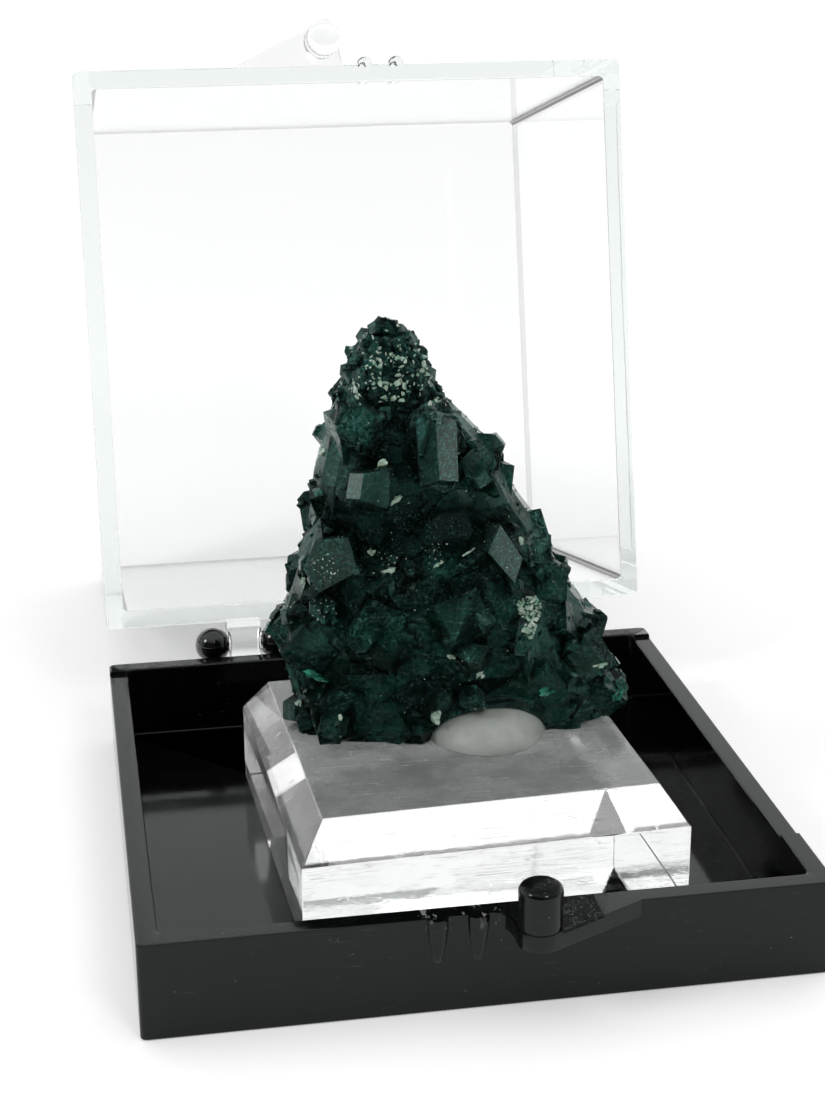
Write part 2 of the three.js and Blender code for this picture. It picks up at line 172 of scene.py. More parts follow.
class Finishes(bpy.types.PropertyGroup):
    """Colours of the materials."""

    black: colour("Black", "Black of the moulded tray", (0.002, 0.002, 0.0022))
    putty: colour("Putty", "Pale grey of the putty", (0.40, 0.43, 0.40))
    stone_tint: colour("Stone Tint", "What a metre of crystal lets through, at its density", (0.03, 0.80, 0.77))
    sheen: colour("Sheen", "Tint of what the crystal faces reflect", (0.16, 0.5, 0.44))
    stone_density: quantity("Stone Density", "How fast the crystal takes up light", 3400)
    core_dark: colour("Core Dark", "Darkest part of the cloudy core", (0.01, 0.11, 0.09))
    core_light: colour("Core Light", "Lightest part of the cloudy core", (0.22, 0.8, 0.66))
    # Painted shade: the dark colour laid on the crystals in the hollows
    hollow_shade: colour("Hollow", "What the crystals let through in the deepest hollows", (0.0006, 0.003, 0.0026))
    frost: colour("Frost", "Frosted patches of the crystals", (0.06, 0.22, 0.18))
    # Painted sheen: the grey laid on chosen crystal faces
    painted_sheen_grey: colour("Grey Face", "Flat crystal faces that shine grey", (0.036, 0.06, 0.052))
    matrix: colour("Matrix", "Pale grains of the matrix", (0.46, 0.55, 0.47))


class Studio(bpy.types.PropertyGroup):
    """The lights, the floor and the camera."""

    surround: quantity("Surround", "Brightness of the white surroundings", 1.0)
    back: quantity("Back", "Brightness that the wall behind has more", 0.1)
    front: quantity("Front", "Brightness of the room behind the camera", 0.07)
    right: quantity("Right", "Brightness of the window on the right", 0.25)
    key: quantity("Key", "Power of the lamp on the left", 1.0, unit="POWER")
    fill: quantity("Fill", "Power of the lamp on the right", 0.9, unit="POWER")
    floor: quantity("Floor", "How much light the floor gives back", 0.93, max=1)
    glow: quantity("Glow", "Light of the floor itself", 0.2)
    floor_reach: length("Floor Reach", "How far the floor goes each way", 3000)
    camera_place: triple("Camera Place", "Where the camera stands", -31.043, -169.308, 90.788)
    yaw: bearing("Yaw", "Way that the camera looks, from +Y", 0.17184763)
    pitch: bearing("Pitch", "Height above the horizon at which the camera looks", -0.3437741)
    roll: bearing("Roll", "Tilt of the camera's picture", -0.00491)
    lens: quantity("Lens", "Focal length, on a frame 36 mm high", 67.27)


# Shader and geometry nodes


class Number:
    """A number in a node tree, so that sums on it are written as Python."""

    def __init__(self, tree, socket):
        self.tree = tree
        self.socket = socket

    def worked(self, operation, *values):
        node = self.tree.node("ShaderNodeMath", {"operation": operation}, dict(enumerate(values)))
        return Number(self.tree, node.outputs[0])

    def __add__(self, other):
        return self.worked("ADD", self, other)

    def __radd__(self, other):
        return self.worked("ADD", other, self)

    def __sub__(self, other):
        return self.worked("SUBTRACT", self, other)

    def __rsub__(self, other):
        return self.worked("SUBTRACT", other, self)

    def __mul__(self, other):
        return self.worked("MULTIPLY", self, other)

    def __rmul__(self, other):
        return self.worked("MULTIPLY", other, self)

    def __rtruediv__(self, other):
        return self.worked("DIVIDE", other, self)

    def __pow__(self, other):
        return self.worked("POWER", self, other)

    def __lt__(self, other):
        return self.worked("LESS_THAN", self, other)

    def __gt__(self, other):
        return self.worked("GREATER_THAN", self, other)

    def __abs__(self):
        return self.worked("ABSOLUTE", self)

    def most(self, other):
        return self.worked("MAXIMUM", self, other)

    def ramp(self, low, high, start=0.0, end=1.0):
        """Goes evenly from start to end as the number goes from low to high, and stays there."""
        sockets = {0: self, 1: low, 2: high, 3: start, 4: end}
        node = self.tree.node("ShaderNodeMapRange", {"clamp": True}, sockets)
        return Number(self.tree, node.outputs[0])


class Nodes:
    """A node tree that is filled in by one method."""

    def __init__(self, tree):
        self.tree = tree
        tree.nodes.clear()

    def node(self, kind, settings=None, sockets=None):
        """Adds a node of that type, makes its settings, then sets or links its sockets."""
        node = self.tree.nodes.new(kind)
        for name, value in (settings or {}).items():
            setattr(node, name, value)
        for name, value in (sockets or {}).items():
            self.feed(node.inputs[name], value)
        return node

    def feed(self, socket, value):
        if isinstance(value, Number):
            value = value.socket
        if isinstance(value, bpy.types.NodeSocket):
            self.tree.links.new(value, socket)
        else:
            socket.default_value = value

    def number(self, socket):
        return Number(self, socket)

    def away(self, first, second):
        """The distance between two places."""
        node = self.node("ShaderNodeVectorMath", {"operation": "DISTANCE"}, {0: first, 1: second})
        return self.number(node.outputs["Value"])


class Finish(Nodes):
    """A material made of nodes, on the piece's own Object coordinates."""

    def __init__(self, name):
        self.material = bpy.data.materials.new(name)
        self.material.use_nodes = True
        super().__init__(self.material.node_tree)
        self.place = self.node("ShaderNodeTexCoord").outputs["Object"]

    def turned(self, angles, stretch=(1, 1, 1)):
        """The place, turned and stretched."""
        turns = tuple(math.radians(angle) for angle in angles)
        sockets = {"Vector": self.place, "Rotation": turns, "Scale": stretch}
        return self.node("ShaderNodeMapping", None, sockets).outputs[0]

    def cloud(self, size, detail=3, rough=0.5, place=None):
        """Soft random patches of about that size, in millimetres, round a half."""
        scale = 1 / (size * MM)
        sockets = {"Vector": place or self.place, "Scale": scale, "Detail": detail, "Roughness": rough}
        return self.number(self.node("ShaderNodeTexNoise", None, sockets).outputs[0])

    def cells(self, size):
        """Random cells of about that size, in millimetres: the outputs of their node."""
        return self.node("ShaderNodeTexVoronoi", None, {"Vector": self.place, "Scale": 1 / (size * MM)}).outputs

    def dust(self, spacing, speck):
        """Small round specks, spaced and sized in millimetres."""
        reach = self.number(self.cells(spacing)["Distance"])
        return reach.ramp(speck / spacing, 0.5 * speck / spacing)

    def scratches(self, angles, spacing, width):
        """Long thin lines, from a cloud that is drawn out along one direction."""
        place = self.turned(angles, (0.04, 1, 1))
        lines = abs(self.cloud(spacing, 1, 0.4, place) - 0.5).ramp(width, 0)
        return lines * self.cloud(spacing * 6, 2).ramp(0.5, 0.58)

    def stored(self, name):
        """A number that the piece's mesh holds for its faces or corners."""
        return self.number(self.node("ShaderNodeAttribute", {"attribute_name": name}).outputs["Fac"])

    def coordinate(self, axis):
        node = self.node("ShaderNodeSeparateXYZ", None, {0: self.place})
        return self.number(node.outputs[axis])

    def within(self, axis, low, high, soft):
        """1 between two places along an axis, in millimetres, and 0 beyond a soft edge."""
        spot = self.coordinate(axis)
        rise = spot.ramp((low - soft) * MM, (low + soft) * MM)
        return rise * spot.ramp((high + soft) * MM, (high - soft) * MM)

    def mixed(self, factor, first, second):
        """A colour between two others. Inputs 6 and 7 and output 2 are the node's own for colours."""
        sockets = {0: factor, 6: self.toned(first), 7: self.toned(second)}
        return self.node("ShaderNodeMix", {"data_type": "RGBA"}, sockets).outputs[2]

    def toned(self, tone):
        if isinstance(tone, bpy.types.NodeSocket):
            return tone
        return (*tone[:3], 1)

    def bump(self, height, distance, strength):
        sockets = {"Height": height, "Distance": distance * MM, "Strength": strength}
        return self.node("ShaderNodeBump", None, sockets).outputs[0]

    def done(self, sockets, volume=None, films=()):
        """Ends the material in a Principled shader with these sockets, and the films over it."""
        shader = self.node("ShaderNodeBsdfPrincipled", None, sockets)
        for amount, film_sockets in films:
            film = self.node("ShaderNodeBsdfPrincipled", None, film_sockets)
            sockets = {0: amount, 1: shader.outputs[0], 2: film.outputs[0]}
            shader = self.node("ShaderNodeMixShader", None, sockets)
        ends = {"Surface": shader.outputs[0]}
        if volume:
            tint, density = volume
            absorb = self.node("ShaderNodeVolumeAbsorption", None, {"Color": (*tint, 1), "Density": density})
            ends["Volume"] = absorb.outputs[0]
        self.node("ShaderNodeOutputMaterial", None, ends)
        return self.material


# Finishes


def black_styrene(tones):
    """Glossy moulded black plastic with dust, scratches, polished balls, pale nicks by the clasp, and a painted
    dark reflection on the flange and the peg's top.
    """
    finish = Finish("black_styrene")
    haze = finish.cloud(3, 4, 0.6)
    rubbed = finish.scratches((0, 0, 12), 0.5, 0.004).most(finish.scratches((8, 0, 80), 0.6, 0.003))
    specks = finish.dust(1.3, 0.05) * finish.cloud(6, 2).ramp(0.45, 0.6)
    rim = finish.within(Z, 7.6, 8.7, 0.2) * finish.within(Y, -29, -26.7, 0.2) * finish.within(X, -7, 1.5, 0.6)
    nicks = rim * finish.cloud(0.9, 3, 0.7, finish.turned((0, 0, 0), (1, 0.35, 0.3))).ramp(0.56, 0.64)
    pale = (specks * 0.5).most(nicks * 0.35).most(rubbed * 0.06)
    polished = finish.within(Y, 28.9, 60, 0.2) * 0.7
    # Painted dark reflection: a dull black film on the flange's top and the peg's dome, mottled with pale
    # specks, takes away what they reflect
    flange = finish.within(X, 0.5, 8.4, 0.1) * finish.within(Y, -32.2, -26.6, 0.1)
    flange = flange * finish.within(Z, 8.3, 8.6, 0.05)
    peg_top = finish.within(Z, 12.0, 20, 0.1)
    painted_dark_reflection = flange.most(peg_top) * finish.cloud(0.3, 3, 0.7).ramp(0.62, 0.54)
    return finish.done({
        "Base Color": finish.mixed(pale, tones.black, (0.55, 0.56, 0.55)),
        "Roughness": (0.06 + haze * 0.06 + rubbed * 0.15).most(nicks * 0.5),
        "IOR": 1.36,
        "Specular Tint": (0.9, 1.0, 0.97, 1),
        "Coat Weight": polished,
        "Coat Roughness": 0.05,
        "Normal": finish.bump(haze * 0.2 + nicks, 0.03, 0.3),
    }, films=[(painted_dark_reflection * 0.8, {"Base Color": (*tones.black, 1), "Roughness": 0.5, "IOR": 1.12})])


def clear_styrene():
    """Clear moulded plastic of the lid, with fine dust and a few scratches."""
    finish = Finish("clear_styrene")
    rubbed = finish.scratches((0, 14, 30), 0.7, 0.003)
    specks = finish.dust(2.2, 0.06) * finish.cloud(9, 2).ramp(0.5, 0.6)
    return finish.done({
        "Base Color": finish.mixed(specks * 0.5, (0.985, 0.99, 0.99), (0.75, 0.78, 0.78)),
        "Roughness": 0.015 + rubbed * 0.1 + specks * 0.3,
        "IOR": 1.57,
        "Transmission Weight": 1.0,
        "Normal": finish.bump(finish.cloud(9, 2), 0.05, 0.1),
    }, ((0.89, 0.94, 0.92), 18))


def clear_acrylic(holder):
    """Clear polished plastic of the block, with dust and rubbed scratches."""
    finish = Finish("clear_acrylic")
    rubbed = finish.scratches((0, 0, 35), 0.6, 0.006).most(finish.scratches((0, 0, -50), 0.5, 0.005))
    specks = finish.dust(1.1, 0.06) * finish.cloud(5, 2).ramp(0.42, 0.6)
    haze = finish.cloud(4, 4, 0.65).ramp(0.4, 0.8)
    top = finish.within(Z, holder.place[Z] / MM + holder.height / MM - 0.15, 20, 0.05)
    film = {"Base Color": (0.62, 0.65, 0.63, 1), "Roughness": 0.4, "IOR": 1.49}
    return finish.done({
        "Base Color": finish.mixed(specks * 0.6, (0.98, 0.985, 0.985), (0.7, 0.72, 0.7)),
        "Roughness": 0.02 + haze * 0.05 + top * 0.1 + rubbed * 0.2 + specks * 0.3,
        "IOR": 1.49,
        "Transmission Weight": 1.0,
        "Normal": finish.bump(rubbed + haze * 0.4, 0.02, 0.3),
    }, films=[(top * (0.28 + haze * 0.14) + rubbed * 0.1 + specks * 0.2, film)])


def grey_putty(tones):
    """Smooth pressed putty with slight lumps and darker smudges."""
    finish = Finish("grey_putty")
    smudge = finish.cloud(2.5, 4, 0.6).ramp(0.4, 0.75)
    lumps = finish.cloud(1.2, 3, 0.55)
    darker = tuple(value * 0.72 for value in tones.putty)
    return finish.done({
        "Base Color": finish.mixed(smudge, tones.putty, darker),
        "Roughness": 0.42 + smudge * 0.2,
        "IOR": 1.45,
        "Normal": finish.bump(lumps, 0.12, 0.5),
    })


def crystal_green(tones):
    """Glassy crystal faces over a deep green, frosted in patches, with a painted grey sheen on flat faces and
    painted shade in the hollows.
    """
    finish = Finish("crystal_green")
    # How open each place is to the outside: the less open, the more painted shade
    painted_shade_openness = finish.stored("openness")
    speckle = finish.cloud(0.22, 3, 0.65)
    streaks = finish.cloud(0.25, 2, 0.5, finish.turned((20, 10, 0), (1, 1, 0.15)))
    # The upper part and the slope on the right are frosted more, and the knob all over
    upper = finish.within(Z, 36, 60, 5) * 0.09
    right = finish.within(X, 9, 40, 3) * 0.07
    blotch = (finish.cloud(4.5, 3, 0.55) + upper + right).ramp(0.44, 0.64)
    knob = finish.within(Z, 43.6, 60, 0.6)
    # The pale frost is kept out of the hollows, a painted shade there
    frost = (blotch.most(knob) * speckle.ramp(0.42, 0.66)) * painted_shade_openness.ramp(0.2, 0.7)
    # The stored shine is a painted grey sheen on faces, strongest on the narrow faces along the edges
    tone_and_painted_sheen = finish.stored("shine")
    shine = tone_and_painted_sheen.ramp(0.55, 1.0) * painted_shade_openness.ramp(0.3, 0.6)
    cracks = finish.scratches((10, 35, 20), 0.6, 0.006).most(finish.scratches((0, -50, 70), 0.5, 0.006))
    # Faces with more painted sheen also let through a lighter green
    tone = tone_and_painted_sheen.ramp(0.1, 0.6) * 0.65 + speckle.ramp(0.35, 0.7) * 0.35
    clear = finish.mixed(tone, (0.015, 0.14, 0.115), (0.12, 0.52, 0.44))
    grey = finish.mixed(speckle.ramp(0.5, 0.7), tones.painted_sheen_grey, tones.frost)
    # Painted shade over the recess across the middle of the front
    band = finish.within(Z, 29.3, 34.6, 1.0) * finish.within(X, -5.5, 3.5, 1.5) * finish.within(Y, -9, -1, 0.5)
    # Painted shade: the crystals are darkened where they are less open to the outside and over that recess
    lit = painted_shade_openness.ramp(0.4, 0.88) * (1 - band * 0.85)
    flecks = finish.cloud(0.24, 3, 0.7).ramp(0.54, 0.66) * finish.cloud(1.7, 3, 0.6).ramp(0.42, 0.58)
    lumps = finish.number(finish.cells(0.55)["Distance"]) * 0.6 + finish.cloud(0.6, 2)
    relief = finish.bump(speckle * 0.3 + streaks * 0.3 + lumps, 0.1, 0.5)
    sheen = (*tones.sheen, 1)
    return finish.done({
        "Base Color": finish.mixed(lit, tones.hollow_shade, clear),
        "Roughness": 0.08 + speckle.ramp(0.45, 0.75) * 0.2,
        "IOR": 1.5,
        "Specular Tint": sheen,
        "Transmission Weight": 1.0,
        "Normal": relief,
    }, (tones.stone_tint, tones.stone_density), [
        (frost * 0.55, {"Base Color": (*tones.frost, 1), "Roughness": 0.5, "Specular Tint": sheen,
                        "Normal": relief}),
        # Painted sheen: a grey film on the faces that the stored shine picks out
        (shine * 0.75, {"Base Color": grey, "Roughness": 0.3 + speckle * 0.1, "Normal": relief}),
        (cracks * 0.3 * painted_shade_openness, {"Base Color": (0.5, 0.62, 0.58, 1), "Roughness": 0.4}),
        # Painted shade: a dull dark film in the hollows that also takes away their reflection
        ((1 - lit) * 0.9, {"Base Color": (*tones.hollow_shade, 1), "Roughness": 0.8, "IOR": 1.1}),
        (flecks * 0.22, {"Base Color": (0.15, 0.3, 0.26, 1), "Roughness": 0.5, "Specular Tint": sheen,
                         "Normal": relief}),
    ])


def cloudy_core(tones):
    """The cloudy inside of the stone, mottled from dark to light blue-green."""
    finish = Finish("cloudy_core")
    mottle = finish.cloud(2.2, 5, 0.65)
    veins = finish.cloud(0.8, 3, 0.6)
    tone = (mottle * 0.7 + veins * 0.3).ramp(0.38, 0.64)
    return finish.done({
        "Base Color": finish.mixed(tone, tones.core_dark, tones.core_light),
        "Roughness": 0.55,
        "Normal": finish.bump(veins, 0.3, 0.6),
    })


def green_chip():
    """The bits of clear light green that catch the light."""
    finish = Finish("green_chip")
    tone = finish.cloud(0.6, 3).ramp(0.4, 0.65)
    return finish.done({
        "Base Color": finish.mixed(tone, (0.004, 0.07, 0.045), (0.03, 0.27, 0.18)),
        "Roughness": 0.2,
        "Normal": finish.bump(finish.cloud(0.2, 2), 0.04, 0.5),
    })


def matrix_grains(tones):
    """Pale sugary grains with greenish and brownish stains, also used for tiny pale grains as painted glints.
    """
    finish = Finish("matrix_grains")
    stain = finish.cloud(0.9, 4, 0.7)
    green = tuple(value * share for value, share in zip(tones.matrix, (0.3, 0.62, 0.5)))
    brown = tuple(value * share for value, share in zip(tones.matrix, (0.4, 0.46, 0.36)))
    single = finish.number(finish.cells(0.4)["Color"])
    ground = finish.mixed(single.ramp(0.25, 0.95).most(stain.ramp(0.55, 0.65)), tones.matrix, green)
    return finish.done({
        "Base Color": finish.mixed(finish.cloud(0.5, 2).ramp(0.56, 0.66), ground, brown),
        "Roughness": 0.35 + stain * 0.3,
        "Normal": finish.bump(finish.cloud(0.15, 2), 0.05, 0.6),
    })


def white_paper(studio):
    """The plain pale floor."""
    finish = Finish("white_paper")
    return finish.done({
        "Base Color": finish.mixed(finish.cloud(40, 2), (studio.floor,) * 3, (studio.floor * 0.985,) * 3),
        "Roughness": 0.7,
        "Specular IOR Level": 0.2,
        "Emission Color": (1, 1, 1, 1),
        "Emission Strength": studio.glow,
    })


# Shapes


def rounded(points, radius, steps=3):
    """A line of points with its inner corners rounded off."""
    line = [points[0]]
    for before, corner, after in zip(points, points[1:], points[2:]):
        start = corner + (before - corner).normalized() * radius
        end = corner + (after - corner).normalized() * radius
        for step in range(steps + 1):
            way = step / steps
            line.append(start * (1 - way) ** 2 + corner * 2 * way * (1 - way) + end * way**2)
    line.append(points[-1])
    return line


def square_outline(half, corner, marks, steps=5):
    """A square with round corners, anticlockwise, with extra points along its left and right sides."""
    straight = half - corner
    outline = []
    for quarter, (x, y) in enumerate(((1, 1), (-1, 1), (-1, -1), (1, -1))):
        for step in range(steps + 1):
            turn = (quarter + step / steps) * math.pi / 2
            place = (x * straight + corner * math.cos(turn), y * straight + corner * math.sin(turn))
            outline.append(place)
        if quarter == 1:
            outline += [(-half, mark) for mark in reversed(marks)]
        if quarter == 3:
            outline += [(half, mark) for mark in marks]
    return outline


def loft(rings):
    """A closed solid through rings of points, with a flat end on the first and the last."""
    shape = bmesh.new()
    made = [[shape.verts.new(point) for point in ring] for ring in rings]
    count = len(made[0])
    for lower, upper in zip(made, made[1:]):
        for index in range(count):
            after = (index + 1) % count
            shape.faces.new((lower[index], lower[after], upper[after], upper[index]))
    shape.faces.new(reversed(made[0]))
    shape.faces.new(made[-1])
    bmesh.ops.recalc_face_normals(shape, faces=shape.faces)
    return shape


def turned_solid(profile, sides, x, y):
    """A solid of revolution about an upright line, from pairs of radius and height."""
    rings = []
    for radius, height in profile:
        turns = [2 * math.pi * side / sides for side in range(sides)]
        rings.append([(x + radius * math.cos(turn), y + radius * math.sin(turn), height) for turn in turns])
    return loft(rings)


def plate(outline, low, high, axis, edge):
    """A plate with a plan outline and bevelled edges, along Z or across X."""
    shape = bmesh.new()
    for end in (low, high):
        for first, second in outline:
            shape.verts.new((first, second, end) if axis == "Z" else (end, first, second))
    shape.verts.ensure_lookup_table()
    count = len(outline)
    shape.faces.new([shape.verts[index] for index in range(count)])
    shape.faces.new([shape.verts[count + index] for index in reversed(range(count))])
    for index in range(count):
        after = (index + 1) % count
        corners = (index, after, count + after, count + index)
        shape.faces.new([shape.verts[corner] for corner in reversed(corners)])
    bmesh.ops.recalc_face_normals(shape, faces=shape.faces)
    if edge:
        sharp = [item for item in shape.edges if item.calc_face_angle(0) > math.radians(25)]
        bmesh.ops.bevel(shape, geom=sharp, offset=edge, segments=2, profile=0.6, affect="EDGES",
                        clamp_overlap=True)
    return shape


def ball(place, radius, sides=32):
    """A round ball with closed poles."""
    shape = bmesh.new()
    bmesh.ops.create_uvsphere(shape, u_segments=sides, v_segments=sides // 2, radius=radius,
                              matrix=Matrix.Translation(place))
    return shape


def hull(points):
    """The convex solid round some points, with flat faces in one piece."""
    shape = bmesh.new()
    for point in points:
        shape.verts.new(point)
    bmesh.ops.convex_hull(shape, input=shape.verts)
    bmesh.ops.dissolve_limit(shape, angle_limit=math.radians(1), verts=shape.verts, edges=shape.edges)
    bmesh.ops.recalc_face_normals(shape, faces=shape.faces)
    return shape


def piece_from(name, shape):
    """A scene object from a shape, which is used up."""
    mesh = bpy.data.meshes.new(name)
    shape.to_mesh(mesh)
    shape.free()
    piece = bpy.data.objects.new(name, mesh)
    bpy.context.scene.collection.objects.link(piece)
    return piece


def baked(piece):
    """Makes the piece's modifiers part of its mesh."""
    view = bpy.context.evaluated_depsgraph_get()
    mesh = bpy.data.meshes.new_from_object(piece.evaluated_get(view), depsgraph=view)
    old = piece.data
    piece.modifiers.clear()
    piece.data = mesh
    name = old.name
    bpy.data.meshes.remove(old)
    mesh.name = name
    return piece


def carved(name, first, added, cut):
    """Joins closed shapes to the first and then cuts others from it."""
    piece = piece_from(name, first)
    tools = []
    for operation, shapes in (("UNION", added), ("DIFFERENCE", cut)):
        for shape in shapes:
            tool = piece_from("tool", shape)
            modifier = piece.modifiers.new(operation.title(), "BOOLEAN")
            modifier.operation = operation
            modifier.solver = "MANIFOLD"
            modifier.object = tool
            tools.append(tool)
    baked(piece)
    for tool in tools:
        bpy.data.objects.remove(tool)
    return piece


def smoothed(piece, angle=32):
    """Smooth shading between crisp edges, with the flat faces kept flat."""
    mesh = piece.data
    for polygon in mesh.polygons:
        polygon.use_smooth = True
    mesh.set_sharp_from_angle(angle=math.radians(angle))
    modifier = piece.modifiers.new("Flat Faces", "WEIGHTED_NORMAL")
    modifier.keep_sharp = True
    return piece


def placed(piece, body, finish, nodes=()):
    """Gives a finished piece its material, its body, and the nodes that it stands for."""
    piece.data.materials.clear()
    piece.data.materials.append(finish)
    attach(piece, body)
    if nodes:
        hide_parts(*nodes)


# Box


def box_shell(box, profile, step_at=None):
    """A box half, from a profile of pairs of inset and height. Side rims above a height are set down."""
    marks = []
    ramp = 0.06 * MM
    touch = 0.01 * MM
    if step_at is not None:
        for mark in (box.step_front, box.step_back):
            marks += [mark - ramp, mark + ramp]
    rings = []
    for inset, height in profile:
        half = box.side / 2 - inset
        ring = []
        for x, y in square_outline(half, box.corner, marks):
            low = step_at is not None and height > step_at and abs(x) > half - touch
            low = low and box.step_front < y < box.step_back
            ring.append((x, y, height - box.rim_step if low else height))
        rings.append(ring)
    return loft(rings)


def clasp_shapes(box, side, rim, rise):
    """The peg, its flange and the two bumps of one half. Rise points from the rim to the other half."""
    front = -box.side / 2
    centre = front - box.peg_out
    thick = 1.5 * MM
    foot_edge = 0.12 * MM
    flange_edge = 0.14 * MM
    dome = 0.85 * MM
    profile = [(box.peg_radius - foot_edge, -thick), (box.peg_radius, foot_edge - thick)]
    for step in range(12):
        turn = math.pi / 2 * step / 12
        bulge = (math.cos(turn) ** 0.55, math.sin(turn) ** 0.9)
        profile.append((box.peg_radius * bulge[0], box.peg_reach - dome + dome * bulge[1]))
    profile = [(radius, rim + rise * height) for radius, height in profile]
    shapes = [turned_solid(profile, 40, side * box.peg_x, centre)]

    # The flange runs round the peg, in a fillet to the wall on one side and in a tangent on the other
    foot = box.peg_radius + 0.1 * MM
    end = 12 * MM
    run = end - box.peg_x
    tangent = math.asin(foot / math.hypot(run, box.peg_out)) + math.atan2(box.peg_out, run)
    inside = front + box.wall / 2
    fillet = 0.4 * MM
    outline = [(box.peg_x - foot - fillet, inside), (box.peg_x - foot - fillet, front)]
    for step in range(1, 4):
        way = step / 3
        x = (box.peg_x - foot) - fillet * (1 - way) ** 2
        outline.append((x, front + (centre - front) * (0.3 * way + 0.7 * way**2)))
    for step in range(1, 15):
        turn = math.pi + (math.pi / 2 + tangent) * step / 14
        outline.append((box.peg_x + foot * math.cos(turn), centre + foot * math.sin(turn)))
    outline += [(end, front), (end, inside)]
    outline = [(side * x, y) for x, y in outline]
    low = rim - thick if rise > 0 else rim
    shapes.append(plate(outline, low, low + thick, "Z", flange_edge))

    # The bumps are widest at the rim and run out along the wall
    radius, inset = (1.0 * MM, 0.42 * MM) if rise > 0 else (0.8 * MM, 0)
    height = 4.2 * MM
    apart = 1.65 * MM
    low = rim - height if rise > 0 else rim
    line = [(0.3, 0), (0.5, 0.06), (0.66, 0.24), (0.84, 0.52), (0.97, 0.78), (1, 0.94), (0.93, 1)]
    profile = [(radius * wide, low + height * (high if rise > 0 else 1 - high)) for wide, high in line]
    for offset in (-apart, apart):
        shapes.append(turned_solid(profile, 24, -side * box.peg_x + offset, front + inset))
    return shapes


def hinge_places(box):
    return [(pair, [pair - box.ball_spacing / 2, pair + box.ball_spacing / 2])
            for pair in (-box.hinge_pair, box.hinge_pair)]


def hinge_axis(box):
    return Vector((0, box.side / 2 + box.hinge_behind, box.tray_height + box.hinge_above))


def post_shapes(box):
    """The balls that the lid's tabs snap between, each on its post."""
    back = box.side / 2
    axis = hinge_axis(box)
    width = 2.4 * MM
    edge = 0.12 * MM
    tip = axis.y + 1.06 * MM
    root = back - 0.4 * MM
    foot, tip_foot, top = 2.6 * MM, 6.2 * MM, 7.4 * MM
    outline = [(root, foot), (tip, tip_foot), (tip, top), (root, top)]
    shapes = []
    for _, sides in hinge_places(box):
        for x in sides:
            shapes.append(plate(outline, x - width / 2, x + width / 2, "X", edge))
            shapes.append(ball((x, axis.y, axis.z), box.ball_radius))
    return shapes


def tab_shapes(box, mouth):
    """The lid's hinge tabs, and the dimples to be cut from them."""
    back = box.side / 2
    axis = hinge_axis(box)
    edge = 0.12 * MM
    root = mouth + 0.1 * MM
    top = axis.z + box.tab_radius
    gusset = top + 2 * MM
    outline = [(back - box.wall / 2, root), (axis.y, root), (axis.y, top), (back, gusset),
               (back - box.wall / 2, gusset)]
    added = []
    cut = []
    for pair, sides in hinge_places(box):
        low = pair - box.tab_width / 2
        high = pair + box.tab_width / 2
        added.append(plate(outline, low, high, "X", 0))
        turns = [2 * math.pi * step / 36 for step in range(36)]
        eye = [(axis.y + box.tab_radius * math.cos(turn), axis.z + box.tab_radius * math.sin(turn))
               for turn in turns]
        added.append(plate(eye, low, high, "X", edge))
        cut += [ball((x, axis.y, axis.z), box.ball_radius + box.ball_play) for x in sides]
    return added, cut


class SPECIMEN_OT_tray(bpy.types.Operator):
    """Makes the black tray with its hinge balls and its clasp"""

    bl_idname = "specimen.tray"
    bl_label = "Black Tray"

    def execute(self, context):
        box = context.scene.specimen_box
        rim = box.tray_height
        reach = box.side / 4
        line = [Vector((reach, 0)), Vector((0, 0)), Vector((0, rim)), Vector((box.wall, rim)),
                Vector((box.wall, box.floor)), Vector((reach, box.floor))]
        profile = [tuple(point) for point in rounded(line, box.edge)]
        just_under = 0.5 * MM
        shell = box_shell(box, profile, rim - just_under)
        tray = carved("tray", shell, post_shapes(box) + clasp_shapes(box, 1, rim, 1), [])
        smoothed(tray)
        finish = black_styrene(context.scene.specimen_finishes)
        placed(tray, "tray", finish, ["box_tray"])
        return {"FINISHED"}


class SPECIMEN_OT_lid(bpy.types.Operator):
    """Makes the clear lid with its hinge tabs and its clasp, and hinges it open"""

    bl_idname = "specimen.lid"
    bl_label = "Clear Lid"

    def execute(self, context):
        box = context.scene.specimen_box
        mouth = box.tray_height + box.rim_gap
        top = mouth + box.lid_height
        reach = box.side / 4
        line = [Vector((reach, top)), Vector((0, top)), Vector((0, mouth)), Vector((box.wall, mouth)),
                Vector((box.wall, top - box.wall)), Vector((reach, top - box.wall))]
        profile = [tuple(point) for point in rounded(line, box.lid_edge)]
        tabs, dimples = tab_shapes(box, mouth)
        shell = box_shell(box, profile)
        lid = carved("lid", shell, tabs + clasp_shapes(box, -1, mouth, -1), dimples)
        axis = hinge_axis(box)
        swing = Matrix.Translation(axis) @ Matrix.Rotation(-box.open_angle, 4, "X") @ Matrix.Translation(-axis)
        lid.data.transform(swing)
        smoothed(lid)
        placed(lid, "lid", clear_styrene(), ["box_lid"])
        return {"FINISHED"}


# Holder


def putty_shape(holder, extra, sides=56, rings=18):
    """The pressed lens of putty, a little larger all round where a gap is wanted."""
    place = Vector(holder.putty_place)
    wide, deep, high = (value + extra for value in holder.putty_size)
    nearly_closed = 0.985
    levels = []
    for ring in range(rings + 1):
        rise = ring / rings * math.pi / 2 * nearly_closed
        levels.append([
            place + Vector((wide * math.cos(rise) * math.cos(turn), deep * math.cos(rise) * math.sin(turn),
                            high * math.sin(rise)))
            for turn in (2 * math.pi * side / sides for side in range(sides))
        ])
    return loft(levels)


